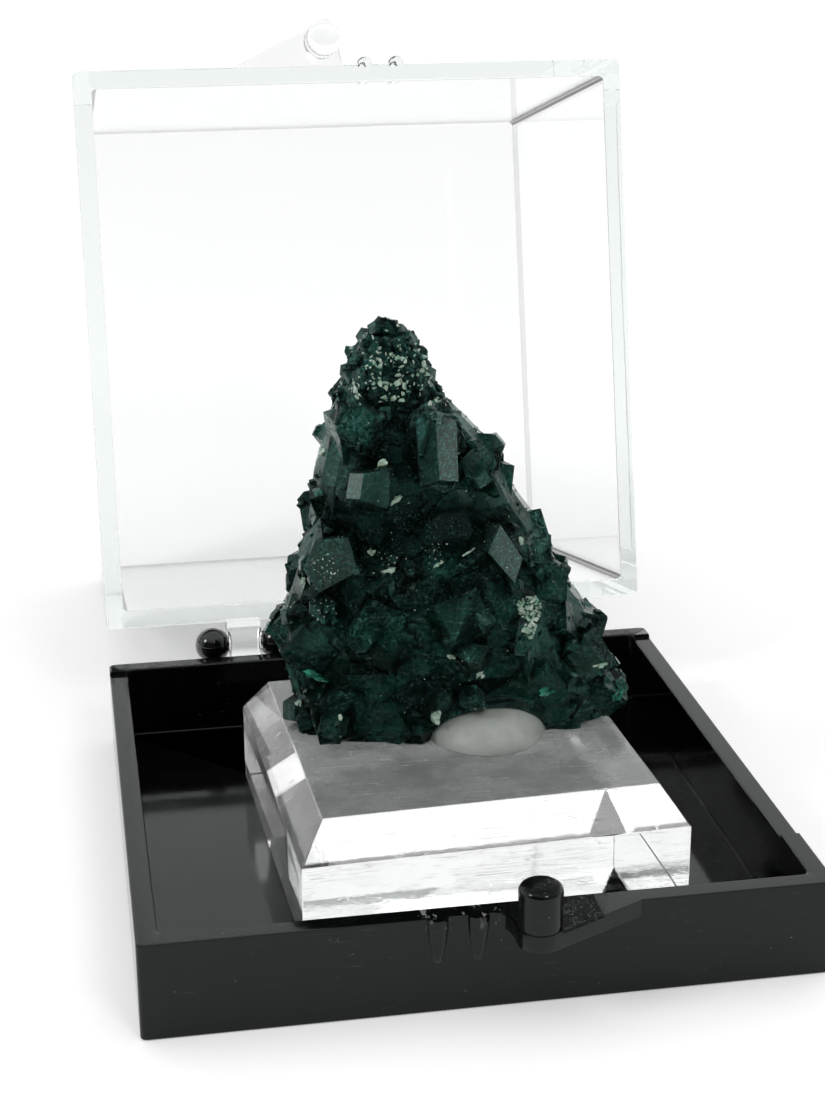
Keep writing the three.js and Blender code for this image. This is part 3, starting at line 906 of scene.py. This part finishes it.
class SPECIMEN_OT_block(bpy.types.Operator):
    """Makes the clear block with its sloping edges"""

    bl_idname = "specimen.block"
    bl_label = "Clear Block"

    def execute(self, context):
        holder = context.scene.specimen_holder
        low = holder.side / 2
        levels = ((low, 0), (low, holder.side_height), (low - holder.bevel, holder.height))
        corners = [(x * half, y * half, z) for half, z in levels for x in (-1, 1) for y in (-1, 1)]
        shape = hull(corners)
        bmesh.ops.bevel(shape, geom=shape.edges, offset=0.09 * MM, segments=2, profile=0.5, affect="EDGES")
        shape.transform(Matrix.Translation(holder.place) @ Matrix.Rotation(holder.block_turn, 4, "Z"))
        block = smoothed(piece_from("block", shape), 20)
        placed(block, "tray", clear_acrylic(holder), ["acrylic_base"])
        return {"FINISHED"}


class SPECIMEN_OT_putty(bpy.types.Operator):
    """Makes the lump of putty under the stone"""

    bl_idname = "specimen.putty"
    bl_label = "Putty"

    def execute(self, context):
        holder = context.scene.specimen_holder
        shape = putty_shape(holder, 0)
        base = holder.putty_place[Z]
        lumps = ((3.1, 0.16), (1.1, 0.05))
        pressed = 0.08
        for vert in shape.verts:
            rise = min((vert.co.z - base) / MM, 1)
            lump = sum(noise.noise(vert.co / (size * MM)) * height for size, height in lumps)
            vert.co += vert.normal * (lump - pressed) * MM * rise
        putty = smoothed(piece_from("putty_lens", shape), 60)
        placed(putty, "tray", grey_putty(context.scene.specimen_finishes), ["putty"])
        return {"FINISHED"}


# Stone


# A height above the whole stone
ABOVE_ALL = 60 * MM

# How steep the rhombic end faces of a crystal are
END_SLOPE = 1.233


def crystal_shape(chance, tall, edge):
    """A six-sided prism with three rhombic faces at each end, one unit in radius, with worn edges."""
    rise = END_SLOPE / 2
    half = max(tall / 2, 2 * rise + 0.1)
    squash = (chance.uniform(0.85, 1.15), chance.uniform(0.85, 1.15))
    points = [Vector((0, 0, half)), Vector((0, 0, -half))]
    for corner in range(6):
        turn = corner * math.pi / 3
        drop, lift = (2 * rise, rise) if corner % 2 == 0 else (rise, 2 * rise)
        x, y = squash[0] * math.cos(turn), squash[1] * math.sin(turn)
        points.append(Vector((x, y, half - drop)))
        points.append(Vector((x, y, lift - half)))
    shape = hull(points)
    if edge:
        bmesh.ops.bevel(shape, geom=shape.edges, offset=edge, segments=1, affect="EDGES", clamp_overlap=True)
    return shape


def crumb_shape(chance):
    """A small rough crumb with about a dozen faces."""
    points = []
    flat = Vector((1, chance.uniform(0.4, 0.8), chance.uniform(0.3, 0.6)))
    for _ in range(14):
        way = Vector([chance.gauss(0, 1) for _ in range(3)]).normalized()
        points.append(way * flat * chance.uniform(0.7, 1.15))
    shape = bmesh.new()
    for point in points:
        shape.verts.new(point)
    made = bmesh.ops.convex_hull(shape, input=shape.verts)
    inner = made["geom_interior"] + made["geom_unused"]
    spare = {item for item in inner if isinstance(item, bmesh.types.BMVert)}
    bmesh.ops.delete(shape, geom=list(spare), context="VERTS")
    bmesh.ops.recalc_face_normals(shape, faces=shape.faces)
    return shape


def shard_shape(chance):
    """A plate with four to six uneven corners, two units across."""
    corners = chance.choice((4, 5, 6))
    points = []
    for corner in range(corners):
        turn = (corner + chance.uniform(-0.3, 0.3)) * 2 * math.pi / corners
        reach = chance.uniform(0.55, 1.15)
        for side, spread in ((1, 1), (-1, 1.2)):
            points.append((reach * spread * math.cos(turn), reach * spread * math.sin(turn), side))
    return hull(points)


def shelf(name, shapes):
    """A collection of shapes for the growing trees to pick from."""
    collection = bpy.data.collections.new(name)
    bpy.context.scene.collection.children.link(collection)
    for index, shape in enumerate(shapes):
        mesh = bpy.data.meshes.new(f"{name}_{index}")
        shape.to_mesh(mesh)
        shape.free()
        collection.objects.link(bpy.data.objects.new(mesh.name, mesh))
    return collection


def cleared(collection):
    for item in list(collection.objects):
        bpy.data.objects.remove(item)
    bpy.data.collections.remove(collection)


# The largest crystal faces: their corners, and how far the crystal runs back from them, in millimetres
FACE_CRYSTALS = [
    ([(-0.66, -5.6, 43.33), (1.32, -4.8, 42.36), (1.53, -4.86, 36.94), (-0.27, -5.6, 37.42),
      (-2.17, -4.35, 42.58), (-1.8, -4.33, 36.52)], (0.3, 4.5, -0.4)),
    ([(-6.77, -5.6, 38.42), (-7.14, -5.6, 36.12), (-4.6, -4.81, 34.87), (-4.32, -4.89, 38.51),
      (-7.72, -3.69, 37.94), (-8.09, -3.67, 35.67)], (0.8, 3.2, -0.5)),
    ([(-10.79, -3.79, 32.07), (-8, -4.51, 32.41), (-7.42, -5.66, 29.63), (-10.81, -5.28, 27.79),
      (-11.95, -4.27, 29.71)], (1.2, 4.2, -0.8)),
    ([(5.25, -4.65, 32.83), (7.34, -4.53, 29.46), (6.57, -5.08, 27.34), (4.05, -5.36, 30.53)], (-0.9, 4, -0.8)),
]

# Large faces that stay free of small crystals: place and reach, in millimetres
BARE_FACES = [
    ((0.2, -5.4, 41.2), 2.1),
    ((0.3, -5.4, 38.2), 2.1),
    ((-6.2, -4.9, 36.8), 2.4),
    ((-9.9, -4.7, 30.3), 2.6),
    ((5.8, -4.9, 30.2), 2.8),
    ((-9.9, -3, 20.4), 1.8),
    ((2, -5.6, 24.4), 2.0),
    ((-5.4, -6, 22.6), 2.0),
    ((13.9, -3.6, 18.9), 2.0),
    ((-1.4, -5, 16.8), 1.6),
]

# How grey a painted highlight the narrow faces along the crystals' edges get, the area of the largest of them
# in square millimetres, and how grey a painted sheen any other face may get
PAINTED_EDGE_HIGHLIGHT = 0.85
WORN_AREA = 0.02
OTHER_FACES = 0.72

# Faces that look the same way and lie this close in depth get the same painted sheen, in millimetres
SHEET = 0.3

# How grey a painted sheen the faces get there: place and reach in millimetres, the way that they face, and the
# shine
SHINING_FACES = [
    ((0.6, -5.2, 40), 3.4, (0.39, -0.92, 0), 1.0),
    ((-5.6, -5.3, 36.8), 2.2, (-0.9, -0.4, 0), 1.0),
    ((-0.9, -5.2, 40), 2.4, (-0.62, -0.78, 0), 0.2),
    ((-5.6, -5.3, 36.8), 2.2, (0.28, -0.96, 0), 0.3),
    ((-9.9, -4.7, 30.3), 2.6, (-0.3, -1, 0.35), 0.8),
    ((5.8, -4.9, 30.2), 2.8, (0.3, -1, 0.15), 1.0),
]

# The bits on the front are placed on an upright plane and pushed back along a line of sight
BIT_PLANE = -5.2
LOOK = Vector((0.16, 0.93, -0.33)).normalized()

# The way that the bits face, half their thickness and how far they stand proud, in millimetres
OUTWARD = Vector((-0.25, -1, 0.35))
FLAKE = 0.2
PROUD = 0.08

# Patches of pale matrix: place across and up, reach, distance between their grains and largest grain,
# in millimetres
MATRIX_PATCHES = [
    (7.95, 24.9, 1.2, 0.24, 0.55), (7.9, 22.9, 0.75, 0.26, 0.5), (-10.1, 30.2, 1.1, 0.3, 0.22),
    (-4.6, 30.2, 0.9, 0.4, 0.2), (-10.6, 26, 1.3, 0.45, 0.18), (-0.6, 30.4, 1.0, 0.5, 0.18),
]

# Pale shards: place across and up, half width, half height and turn, in millimetres and degrees
SHARDS = [
    (-5.15, 38.9, 0.5, 0.35, 20), (-4.0, 36.0, 0.3, 0.85, -50), (-4.45, 29.3, 0.65, 0.28, 15),
    (-0.75, 15.2, 0.5, 0.8, 0), (3.5, 18.9, 0.3, 0.5, -35), (14.55, 18.9, 0.6, 0.22, 5),
    (-9.2, 15.8, 0.3, 0.2, 30), (-10.4, 40.8, 0.3, 0.3, 0), (-0.2, 29.8, 0.7, 0.18, 30),
    (-12.9, 17.1, 0.35, 0.3, 0), (0.9, 20.9, 0.35, 0.2, -20), (-12.35, 28.8, 0.22, 0.7, -15),
    (7.0, 31.4, 0.25, 0.35, 30), (-6.2, 31.2, 0.3, 0.3, 40), (2.6, 30.6, 0.6, 0.12, 35),
]

# Bits of light green: place across and up, half width, half height and turn
CHIPS = [(9.6, 16.9, 0.75, 0.45, 20), (-11.2, 19.9, 0.9, 0.45, -10), (17.6, 14.4, 0.5, 0.8, -20)]


def growing_tree(name, merged):
    """A geometry tree that grows shapes on a surface: merged with it and past the bare faces, or loose."""
    tree = bpy.data.node_groups.new(name, "GeometryNodeTree")
    inputs = (
        ("Surface", "Geometry", None), ("Shapes", "Collection", None), ("Finish", "Material", None),
        ("Spacing", "Float", 0.0017), ("Smallest", "Float", 0.0005), ("Largest", "Float", 0.0013),
        ("Sink", "Float", 0.2), ("Lean", "Float", 0.6), ("Lowest", "Float", 0.0), ("Highest", "Float", 1.0),
        ("Patch Size", "Float", 0.005), ("Patch Share", "Float", 0.0), ("Seed", "Int", 1),
        ("Centre", "Vector", (0, 0, 0)), ("Reach", "Float", 1.0), ("Tries", "Float", 4e6),
    )
    for label, kind, value in inputs:
        socket = tree.interface.new_socket(name=label, in_out="INPUT", socket_type=f"NodeSocket{kind}")
        if value is not None:
            socket.default_value = value
    tree.interface.new_socket(name="Grown", in_out="OUTPUT", socket_type="NodeSocketGeometry")
    nodes = Nodes(tree)
    given = nodes.node("NodeGroupInput").outputs
    seed = nodes.number(given["Seed"])

    scatter = nodes.node("GeometryNodeDistributePointsOnFaces", {"distribute_method": "POISSON"}, {
        "Mesh": given["Surface"], "Distance Min": given["Spacing"], "Density Max": given["Tries"],
        "Seed": seed})
    place = nodes.node("GeometryNodeInputPosition").outputs[0]
    height = nodes.number(nodes.node("ShaderNodeSeparateXYZ", None, {0: place}).outputs[Z])
    outside = (height < given["Lowest"]).most(height > given["Highest"])
    outside = outside.most(nodes.away(place, given["Centre"]) > given["Reach"])
    for centre, reach in BARE_FACES if merged else ():
        outside = outside.most(nodes.away(place, tuple(value * MM for value in centre)) < reach * MM)
    scale = 1.0 / nodes.number(given["Patch Size"])
    patches = nodes.node("ShaderNodeTexNoise", None, {"Vector": place, "Scale": scale, "Detail": 2.0})
    outside = outside.most(nodes.number(patches.outputs[0]) < given["Patch Share"])
    kept = nodes.node("GeometryNodeDeleteGeometry", {"domain": "POINT"}, {
        "Geometry": scatter.outputs["Points"], "Selection": outside})

    one_number = {"data_type": "FLOAT"}
    chance = nodes.node("FunctionNodeRandomValue", one_number, {2: 0.0, 3: 1.0, "Seed": seed + 1})
    mostly_small = 1.7
    skew = nodes.number(chance.outputs[1]) ** mostly_small
    largest = nodes.number(given["Largest"])
    smallest = nodes.number(given["Smallest"])
    size = smallest + (largest - smallest) * skew
    down = nodes.node("ShaderNodeVectorMath", {"operation": "SCALE"}, {
        0: scatter.outputs["Normal"], "Scale": 0 - size * given["Sink"]})
    sunk = nodes.node("GeometryNodeSetPosition", None, {
        "Geometry": kept.outputs[0], "Offset": down.outputs[0]})
    lean = nodes.number(given["Lean"])
    low = nodes.node("ShaderNodeCombineXYZ", None, {0: 0 - lean, 1: 0 - lean, 2: 0 - lean})
    high = nodes.node("ShaderNodeCombineXYZ", None, {0: lean, 1: lean, 2: lean})
    stray = nodes.node("FunctionNodeRandomValue", {"data_type": "FLOAT_VECTOR"}, {
        0: low.outputs[0], 1: high.outputs[0], "Seed": seed + 2})
    heading = nodes.node("ShaderNodeVectorMath", {"operation": "ADD"}, {
        0: scatter.outputs["Normal"], 1: stray.outputs[0]})
    aim = nodes.node("FunctionNodeAlignRotationToVector", {"axis": "Z"}, {"Vector": heading.outputs[0]})
    twist = nodes.node("FunctionNodeRandomValue", one_number, {2: 0.0, 3: 2 * math.pi, "Seed": seed + 3})
    spin = nodes.node("FunctionNodeAxisAngleToRotation", None, {0: (0, 0, 1), 1: twist.outputs[1]})
    turned = nodes.node("FunctionNodeRotateRotation", {"rotation_space": "LOCAL"}, {
        0: aim.outputs[0], 1: spin.outputs[0]})
    shapes = nodes.node("GeometryNodeCollectionInfo", None, {
        "Collection": given["Shapes"], "Separate Children": True, "Reset Children": True})
    grown = nodes.node("GeometryNodeInstanceOnPoints", None, {
        "Points": sunk.outputs[0], "Instance": shapes.outputs[0], "Pick Instance": True,
        "Rotation": turned.outputs[0], "Scale": size})
    result = grown.outputs[0]
    if merged:
        union = nodes.node("GeometryNodeMeshBoolean", {"operation": "UNION", "solver": "MANIFOLD"})
        nodes.feed(union.inputs["Mesh 2"], result)
        nodes.feed(union.inputs["Mesh 2"], given["Surface"])
        result = union.outputs[0]
    plain = nodes.node("GeometryNodeRealizeInstances", None, {0: result})
    finished = nodes.node("GeometryNodeSetMaterial", None, {0: plain.outputs[0], "Material": given["Finish"]})
    nodes.node("NodeGroupOutput", None, {0: finished.outputs[0]})
    return tree


def grown(piece, tree, values):
    """Runs a growing tree on a piece and makes the result its plain mesh."""
    modifier = piece.modifiers.new(tree.name, "NODES")
    modifier.node_group = tree
    for item in tree.interface.items_tree:
        if item.in_out == "INPUT" and item.name in values:
            modifier[item.identifier] = values[item.name]
    return baked(piece)


def stone_surface():
    """A joined-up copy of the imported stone."""
    shape = bmesh.new()
    shape.from_mesh(frame["nodes"]["dioptase"].data)
    bmesh.ops.remove_doubles(shape, verts=shape.verts, dist=0.0005 * MM)
    return shape


def shaded_faces(piece, reach, count):
    """Stores how open each corner is to the outside, from 0 to 1, for painted shade in the hollows, and how
    grey a painted sheen each face gets.
    """
    mesh = piece.data
    tree = faces_tree(mesh)
    lift = 0.01 * MM
    grazing = 0.2
    same_way = 0.95
    golden = math.pi * (3 - math.sqrt(5))
    ways = []
    for index in range(count):
        height = 1 - (2 * index + 1) / count
        turn = index * golden
        ring = math.sqrt(1 - height**2)
        ways.append(Vector((ring * math.cos(turn), ring * math.sin(turn), height)))
    openness = []
    shine = []
    for face in mesh.polygons:
        start = face.center + face.normal * lift
        ahead = [way for way in ways if way.dot(face.normal) > grazing]
        free = sum(tree.ray_cast(start, way, reach)[0] is None for way in ahead)
        openness.append(free / len(ahead))
        sheet = round(face.center.dot(face.normal) / (SHEET * MM))
        chance = (noise.cell(face.normal * 5 + Vector((sheet * 1.7, 0, 0))) + 1) / 2
        # Painted highlight on the narrow edge faces, painted sheen on the others
        value = PAINTED_EDGE_HIGHLIGHT if face.area < WORN_AREA * MM**2 else chance * OTHER_FACES
        for centre, away, facing, grey in SHINING_FACES:
            near = (face.center - Vector(centre) * MM).length < away * MM
            if near and face.normal.dot(Vector(facing).normalized()) > same_way:
                value = grey
        shine.append(value)
    around = [[] for _ in mesh.vertices]
    for face, value in zip(mesh.polygons, openness):
        for corner in face.vertices:
            around[corner].append(value)
    soft = [sum(values) / max(len(values), 1) for values in around]
    mesh.attributes.new("openness", "FLOAT", "POINT").data.foreach_set("value", soft)
    mesh.attributes.new("shine", "FLOAT", "FACE").data.foreach_set("value", shine)


def faces_tree(mesh):
    return BVHTree.FromPolygons([vert.co for vert in mesh.vertices], [face.vertices for face in mesh.polygons])


def spot_on(tree, x, z):
    """The place on the stone's front, and its normal, that lies behind a place on the upright plane."""
    before = Vector((x, BIT_PLANE, z)) * MM
    place, normal, _, _ = tree.ray_cast(before - LOOK * 20 * MM, LOOK)
    if place is None:
        place, normal, _, _ = tree.find_nearest(before)
    return place, normal


def bit_shapes(tree, bits, chance):
    """Small flat bits that lie on the front of the stone."""
    shapes = []
    for x, z, half_width, half_height, turn in bits:
        place, normal = spot_on(tree, x, z)
        facing = OUTWARD.lerp(normal, 0.35).normalized()
        aim = facing.to_track_quat("Z", "Y").to_matrix().to_4x4()
        spin = Matrix.Rotation(math.radians(turn), 4, "Z")
        place = Matrix.Translation(place + normal * PROUD * MM) @ aim @ spin
        for _ in range(4):
            aside = Vector([chance.uniform(-0.65, 0.65) * half * MM for half in (half_width, half_height, 0.1)])
            wide, high = (half * chance.uniform(0.45, 0.95) * MM for half in (half_width, half_height))
            size = Matrix.Diagonal((wide, high, FLAKE * MM, 1))
            lean = chance.uniform(-0.4, 0.4)
            tilt = Matrix.Rotation(lean, 4, Vector((chance.gauss(0, 1), chance.gauss(0, 1), 0.1)))
            shape = shard_shape(chance)
            shape.transform(place @ Matrix.Translation(aside) @ tilt @ size)
            shapes.append(shape)
    return shapes


def gathered(name, parts):
    """One piece from several meshes and shapes, which are used up."""
    whole = bmesh.new()
    for part in parts:
        if isinstance(part, bmesh.types.BMesh):
            mesh = bpy.data.meshes.new("part")
            part.to_mesh(mesh)
            part.free()
            part = mesh
        whole.from_mesh(part)
        bpy.data.meshes.remove(part)
    return piece_from(name, whole)


def face_shapes():
    """The crystals that carry the largest faces."""
    shapes = []
    for corners, back in FACE_CRYSTALS:
        front = [Vector(corner) * MM for corner in corners]
        shape = hull(front + [corner + Vector(back) * MM for corner in front])
        bmesh.ops.bevel(shape, geom=shape.edges, offset=0.05 * MM, segments=1, affect="EDGES",
                        clamp_overlap=True)
        shapes.append(shape)
    return shapes


class SPECIMEN_OT_crystals(bpy.types.Operator):
    """Grows the coat of crystals on the stone"""

    bl_idname = "specimen.crystals"
    bl_label = "Crystals"

    def execute(self, context):
        stone = context.scene.specimen_stone
        holder = context.scene.specimen_holder
        finish = crystal_green(context.scene.specimen_finishes)
        chance = random.Random(stone.seed)
        worn = 0.04
        crystals = shelf("crystal", [crystal_shape(chance, chance.uniform(1.9, 2.4), worn) for _ in range(8)])
        crumbs = shelf("crumb", [crystal_shape(chance, 2.4, 0) for _ in range(4)])
        coat = growing_tree("Grow Coat", merged=True)
        piece = carved("dioptase_crystals", stone_surface(), face_shapes(), [])
        common = {"Finish": finish, "Seed": stone.seed}
        below_knob = {"Lowest": 12 * MM, "Highest": stone.knob_start}
        for run in (
            {**below_knob, "Shapes": crystals, "Spacing": stone.spacing, "Smallest": stone.smallest,
             "Largest": stone.largest, "Sink": 1.1, "Lean": 0.7, "Patch Share": 0.3},
            {**below_knob, "Shapes": crumbs, "Spacing": stone.crumb_spacing, "Smallest": 0.25 * MM,
             "Largest": 0.6 * MM, "Sink": 0.75, "Lean": 1.0, "Patch Share": 0.45},
            {"Lowest": stone.knob_start - 1.6 * MM, "Highest": ABOVE_ALL, "Shapes": crumbs,
             "Spacing": stone.knob_spacing, "Smallest": 0.3 * MM, "Largest": 0.66 * MM, "Sink": 0.75,
             "Lean": 0.9},
        ):
            grown(piece, coat, {**common, **run})
        wide = 50 * MM
        base = holder.putty_place[Z]
        seat = hull([(x, y, z) for x in (-wide, wide) for y in (-wide, wide) for z in (0, base)])
        for tool in (seat, putty_shape(holder, holder.putty_gap)):
            cutter = piece_from("tool", tool)
            modifier = piece.modifiers.new("Cut", "BOOLEAN")
            modifier.solver = "MANIFOLD"
            modifier.object = cutter
            baked(piece)
            bpy.data.objects.remove(cutter)
        cleared(crystals)
        cleared(crumbs)
        for polygon in piece.data.polygons:
            polygon.use_smooth = False
        shaded_faces(piece, reach=5 * MM, count=40)
        placed(piece, "tray", finish, ["dioptase"])
        return {"FINISHED"}


class SPECIMEN_OT_core(bpy.types.Operator):
    """Makes the cloudy core that shows through the crystals"""

    bl_idname = "specimen.core"
    bl_label = "Cloudy Core"

    def execute(self, context):
        stone = context.scene.specimen_stone
        piece = piece_from("dioptase_core", stone_surface())
        remesh = piece.modifiers.new("Even", "REMESH")
        remesh.mode = "VOXEL"
        remesh.voxel_size = stone.core_grain
        shrink = piece.modifiers.new("Shrink", "DISPLACE")
        shrink.strength = -stone.core_depth
        shrink.mid_level = 0
        baked(piece)
        for polygon in piece.data.polygons:
            polygon.use_smooth = True
        placed(piece, "tray", cloudy_core(context.scene.specimen_finishes))
        return {"FINISHED"}


class SPECIMEN_OT_grains(bpy.types.Operator):
    """Scatters the pale grains of matrix, tiny pale grains as painted glints, the shards and the bits of light
    green over the crystals
    """

    bl_idname = "specimen.grains"
    bl_label = "Matrix Grains"

    def execute(self, context):
        stone = context.scene.specimen_stone
        tones = context.scene.specimen_finishes
        surface = bpy.data.objects["dioptase_crystals"].data
        chance = random.Random(stone.seed + 1)
        grains = shelf("grain", [crumb_shape(chance) for _ in range(5)])
        scatter = growing_tree("Scatter Grains", merged=False)
        tree = faces_tree(surface)
        knob = {"Spacing": 0.36 * MM, "Smallest": 0.16 * MM, "Largest": 0.56 * MM, "Lowest": stone.knob_start,
                "Highest": ABOVE_ALL, "Patch Size": 1.3 * MM, "Patch Share": 0.47, "Sink": 0.1, "Tries": 1e7}
        front = {**knob, "Centre": spot_on(tree, -3.9, 46.2)[0], "Reach": 4.1 * MM}
        around = {**knob, "Spacing": 1.0 * MM, "Largest": 0.3 * MM}
        # Painted glints: tiny pale grains scattered over the stone in patches
        painted_glints = {"Spacing": 0.5 * MM, "Smallest": 0.05 * MM, "Largest": 0.15 * MM, "Lowest": 12.5 * MM,
                  "Highest": ABOVE_ALL, "Patch Size": 1.6 * MM, "Patch Share": 0.63, "Sink": 0.0}
        runs = [front, around, painted_glints]
        for x, z, reach, spacing, largest in MATRIX_PATCHES:
            runs.append({"Spacing": spacing * MM, "Smallest": largest * MM * 0.4, "Largest": largest * MM,
                         "Sink": -0.1, "Centre": spot_on(tree, x, z)[0], "Reach": reach * MM, "Tries": 4e7})
        parts = bit_shapes(tree, SHARDS, chance)
        for index, run in enumerate(runs):
            piece = bpy.data.objects.new("run", surface.copy())
            context.scene.collection.objects.link(piece)
            grown(piece, scatter, {"Seed": stone.seed + 4 + index, "Shapes": grains, "Lean": 1.5, **run})
            parts.append(piece.data)
            bpy.data.objects.remove(piece)
        cleared(grains)
        pale = gathered("matrix_grains", parts)
        placed(pale, "tray", matrix_grains(tones))
        chips = gathered("green_chips", bit_shapes(tree, CHIPS, chance))
        placed(chips, "tray", green_chip())
        return {"FINISHED"}


# Studio


def camera_turn(yaw, pitch, roll):
    """How a camera is turned that looks along the yaw from +Y and the pitch above the horizon."""
    ahead = Vector((math.sin(yaw) * math.cos(pitch), math.cos(yaw) * math.cos(pitch), math.sin(pitch)))
    right = Vector((math.cos(yaw), -math.sin(yaw), 0))
    up = right.cross(ahead)
    tilted_right = right * math.cos(roll) + up * math.sin(roll)
    tilted_up = up * math.cos(roll) - right * math.sin(roll)
    return Matrix((tilted_right, tilted_up, -ahead)).transposed()


def lamp(name, direction, distance, size, power):
    """A square lamp that shines on the stone from a direction."""
    light = bpy.data.lights.new(name, "AREA")
    light.energy = power
    light.size = size
    item = bpy.data.objects.new(name, light)
    target = Vector((0, 0, 20 * MM))
    item.location = target + Vector(direction).normalized() * distance
    item.rotation_euler = (item.location - target).to_track_quat("Z", "Y").to_euler()
    bpy.context.scene.collection.objects.link(item)


def surroundings(studio):
    """White surroundings that are dimmer towards the front, where the camera stands."""
    world = bpy.data.worlds.new("surroundings")
    world.use_nodes = True
    nodes = Nodes(world.node_tree)
    place = nodes.node("ShaderNodeTexCoord").outputs["Generated"]
    parts = nodes.node("ShaderNodeSeparateXYZ", None, {0: place})
    across, depth, height = (nodes.number(parts.outputs[axis]) for axis in (X, Y, Z))
    open_side = depth.ramp(-0.5, 0.05).most(height.ramp(0.5, 0.85))
    window = across.ramp(0.2, 0.7, 0.0, studio.right)
    strength = studio.front + window * (1 - open_side) + open_side * (studio.surround - studio.front)
    strength = strength + depth.ramp(0.1, 0.7) * studio.back
    shine = nodes.node("ShaderNodeBackground", None, {"Color": (1, 1, 1, 1), "Strength": strength})
    nodes.node("ShaderNodeOutputWorld", None, {"Surface": shine.outputs[0]})
    return world


class SPECIMEN_OT_stage(bpy.types.Operator):
    """Makes the floor, the lights and the camera"""

    bl_idname = "specimen.stage"
    bl_label = "Stage"

    def execute(self, context):
        scene = context.scene
        studio = scene.specimen_studio
        shape = bmesh.new()
        bmesh.ops.create_grid(shape, x_segments=4, y_segments=4, size=studio.floor_reach)
        floor = piece_from("floor", shape)
        floor.data.materials.append(white_paper(studio))
        clear_of_box = 0.02 * MM
        floor.location.z = min(0.0, cad_box[0].z) - clear_of_box
        scene.world = surroundings(studio)
        lamp("key", (-0.77, -0.24, 0.59), distance=0.7, size=0.17, power=studio.key)
        lamp("fill", (0.27, -0.72, 0.64), distance=0.8, size=0.19, power=studio.fill)
        view = bpy.data.cameras.new("camera")
        view.sensor_fit = "VERTICAL"
        view.sensor_height = 36
        view.lens = studio.lens
        view.clip_start = 0.01
        view.clip_end = 20
        camera = bpy.data.objects.new("camera", view)
        looking = camera_turn(studio.yaw, studio.pitch, studio.roll).to_4x4()
        camera.matrix_world = Matrix.Translation(studio.camera_place) @ looking
        scene.collection.objects.link(camera)
        scene.camera = camera
        scene.view_settings.view_transform = "Standard"
        # Light is reflected many times inside the lid's walls before it leaves them
        scene.cycles.glossy_bounces = 12
        return {"FINISHED"}


class SPECIMEN_PT_build(bpy.types.Panel):
    """Lists the pieces in the order in which they are made"""

    bl_idname = "SPECIMEN_PT_build"
    bl_label = "Boxed Specimen"
    bl_space_type = "VIEW_3D"
    bl_region_type = "UI"
    bl_category = "Specimen"

    def draw(self, context):
        for operator in OPERATORS:
            self.layout.operator(operator.bl_idname)
        for group in GROUPS:
            settings = getattr(context.scene, group)
            column = self.layout.column(align=True)
            for name in settings.__annotations__:
                column.prop(settings, name)


OPERATORS = (SPECIMEN_OT_tray, SPECIMEN_OT_lid, SPECIMEN_OT_block, SPECIMEN_OT_putty, SPECIMEN_OT_crystals,
             SPECIMEN_OT_core, SPECIMEN_OT_grains, SPECIMEN_OT_stage)
GROUPS = {
    "specimen_box": BoxSizes,
    "specimen_holder": HolderSizes,
    "specimen_stone": StoneSizes,
    "specimen_finishes": Finishes,
    "specimen_studio": Studio,
}


def register():
    for group in GROUPS.values():
        bpy.utils.register_class(group)
    for name, group in GROUPS.items():
        setattr(bpy.types.Scene, name, PointerProperty(type=group))
    for operator in OPERATORS:
        bpy.utils.register_class(operator)
    bpy.utils.register_class(SPECIMEN_PT_build)


def unregister():
    bpy.utils.unregister_class(SPECIMEN_PT_build)
    for operator in reversed(OPERATORS):
        bpy.utils.unregister_class(operator)
    for name in GROUPS:
        delattr(bpy.types.Scene, name)
    for group in reversed(GROUPS.values()):
        bpy.utils.unregister_class(group)


def main():
    register()
    bpy.ops.specimen.tray()
    bpy.ops.specimen.lid()
    bpy.ops.specimen.block()
    bpy.ops.specimen.putty()
    bpy.ops.specimen.crystals()
    bpy.ops.specimen.core()
    bpy.ops.specimen.grains()
    bpy.ops.specimen.stage()


if __name__ == "__main__":
    main()
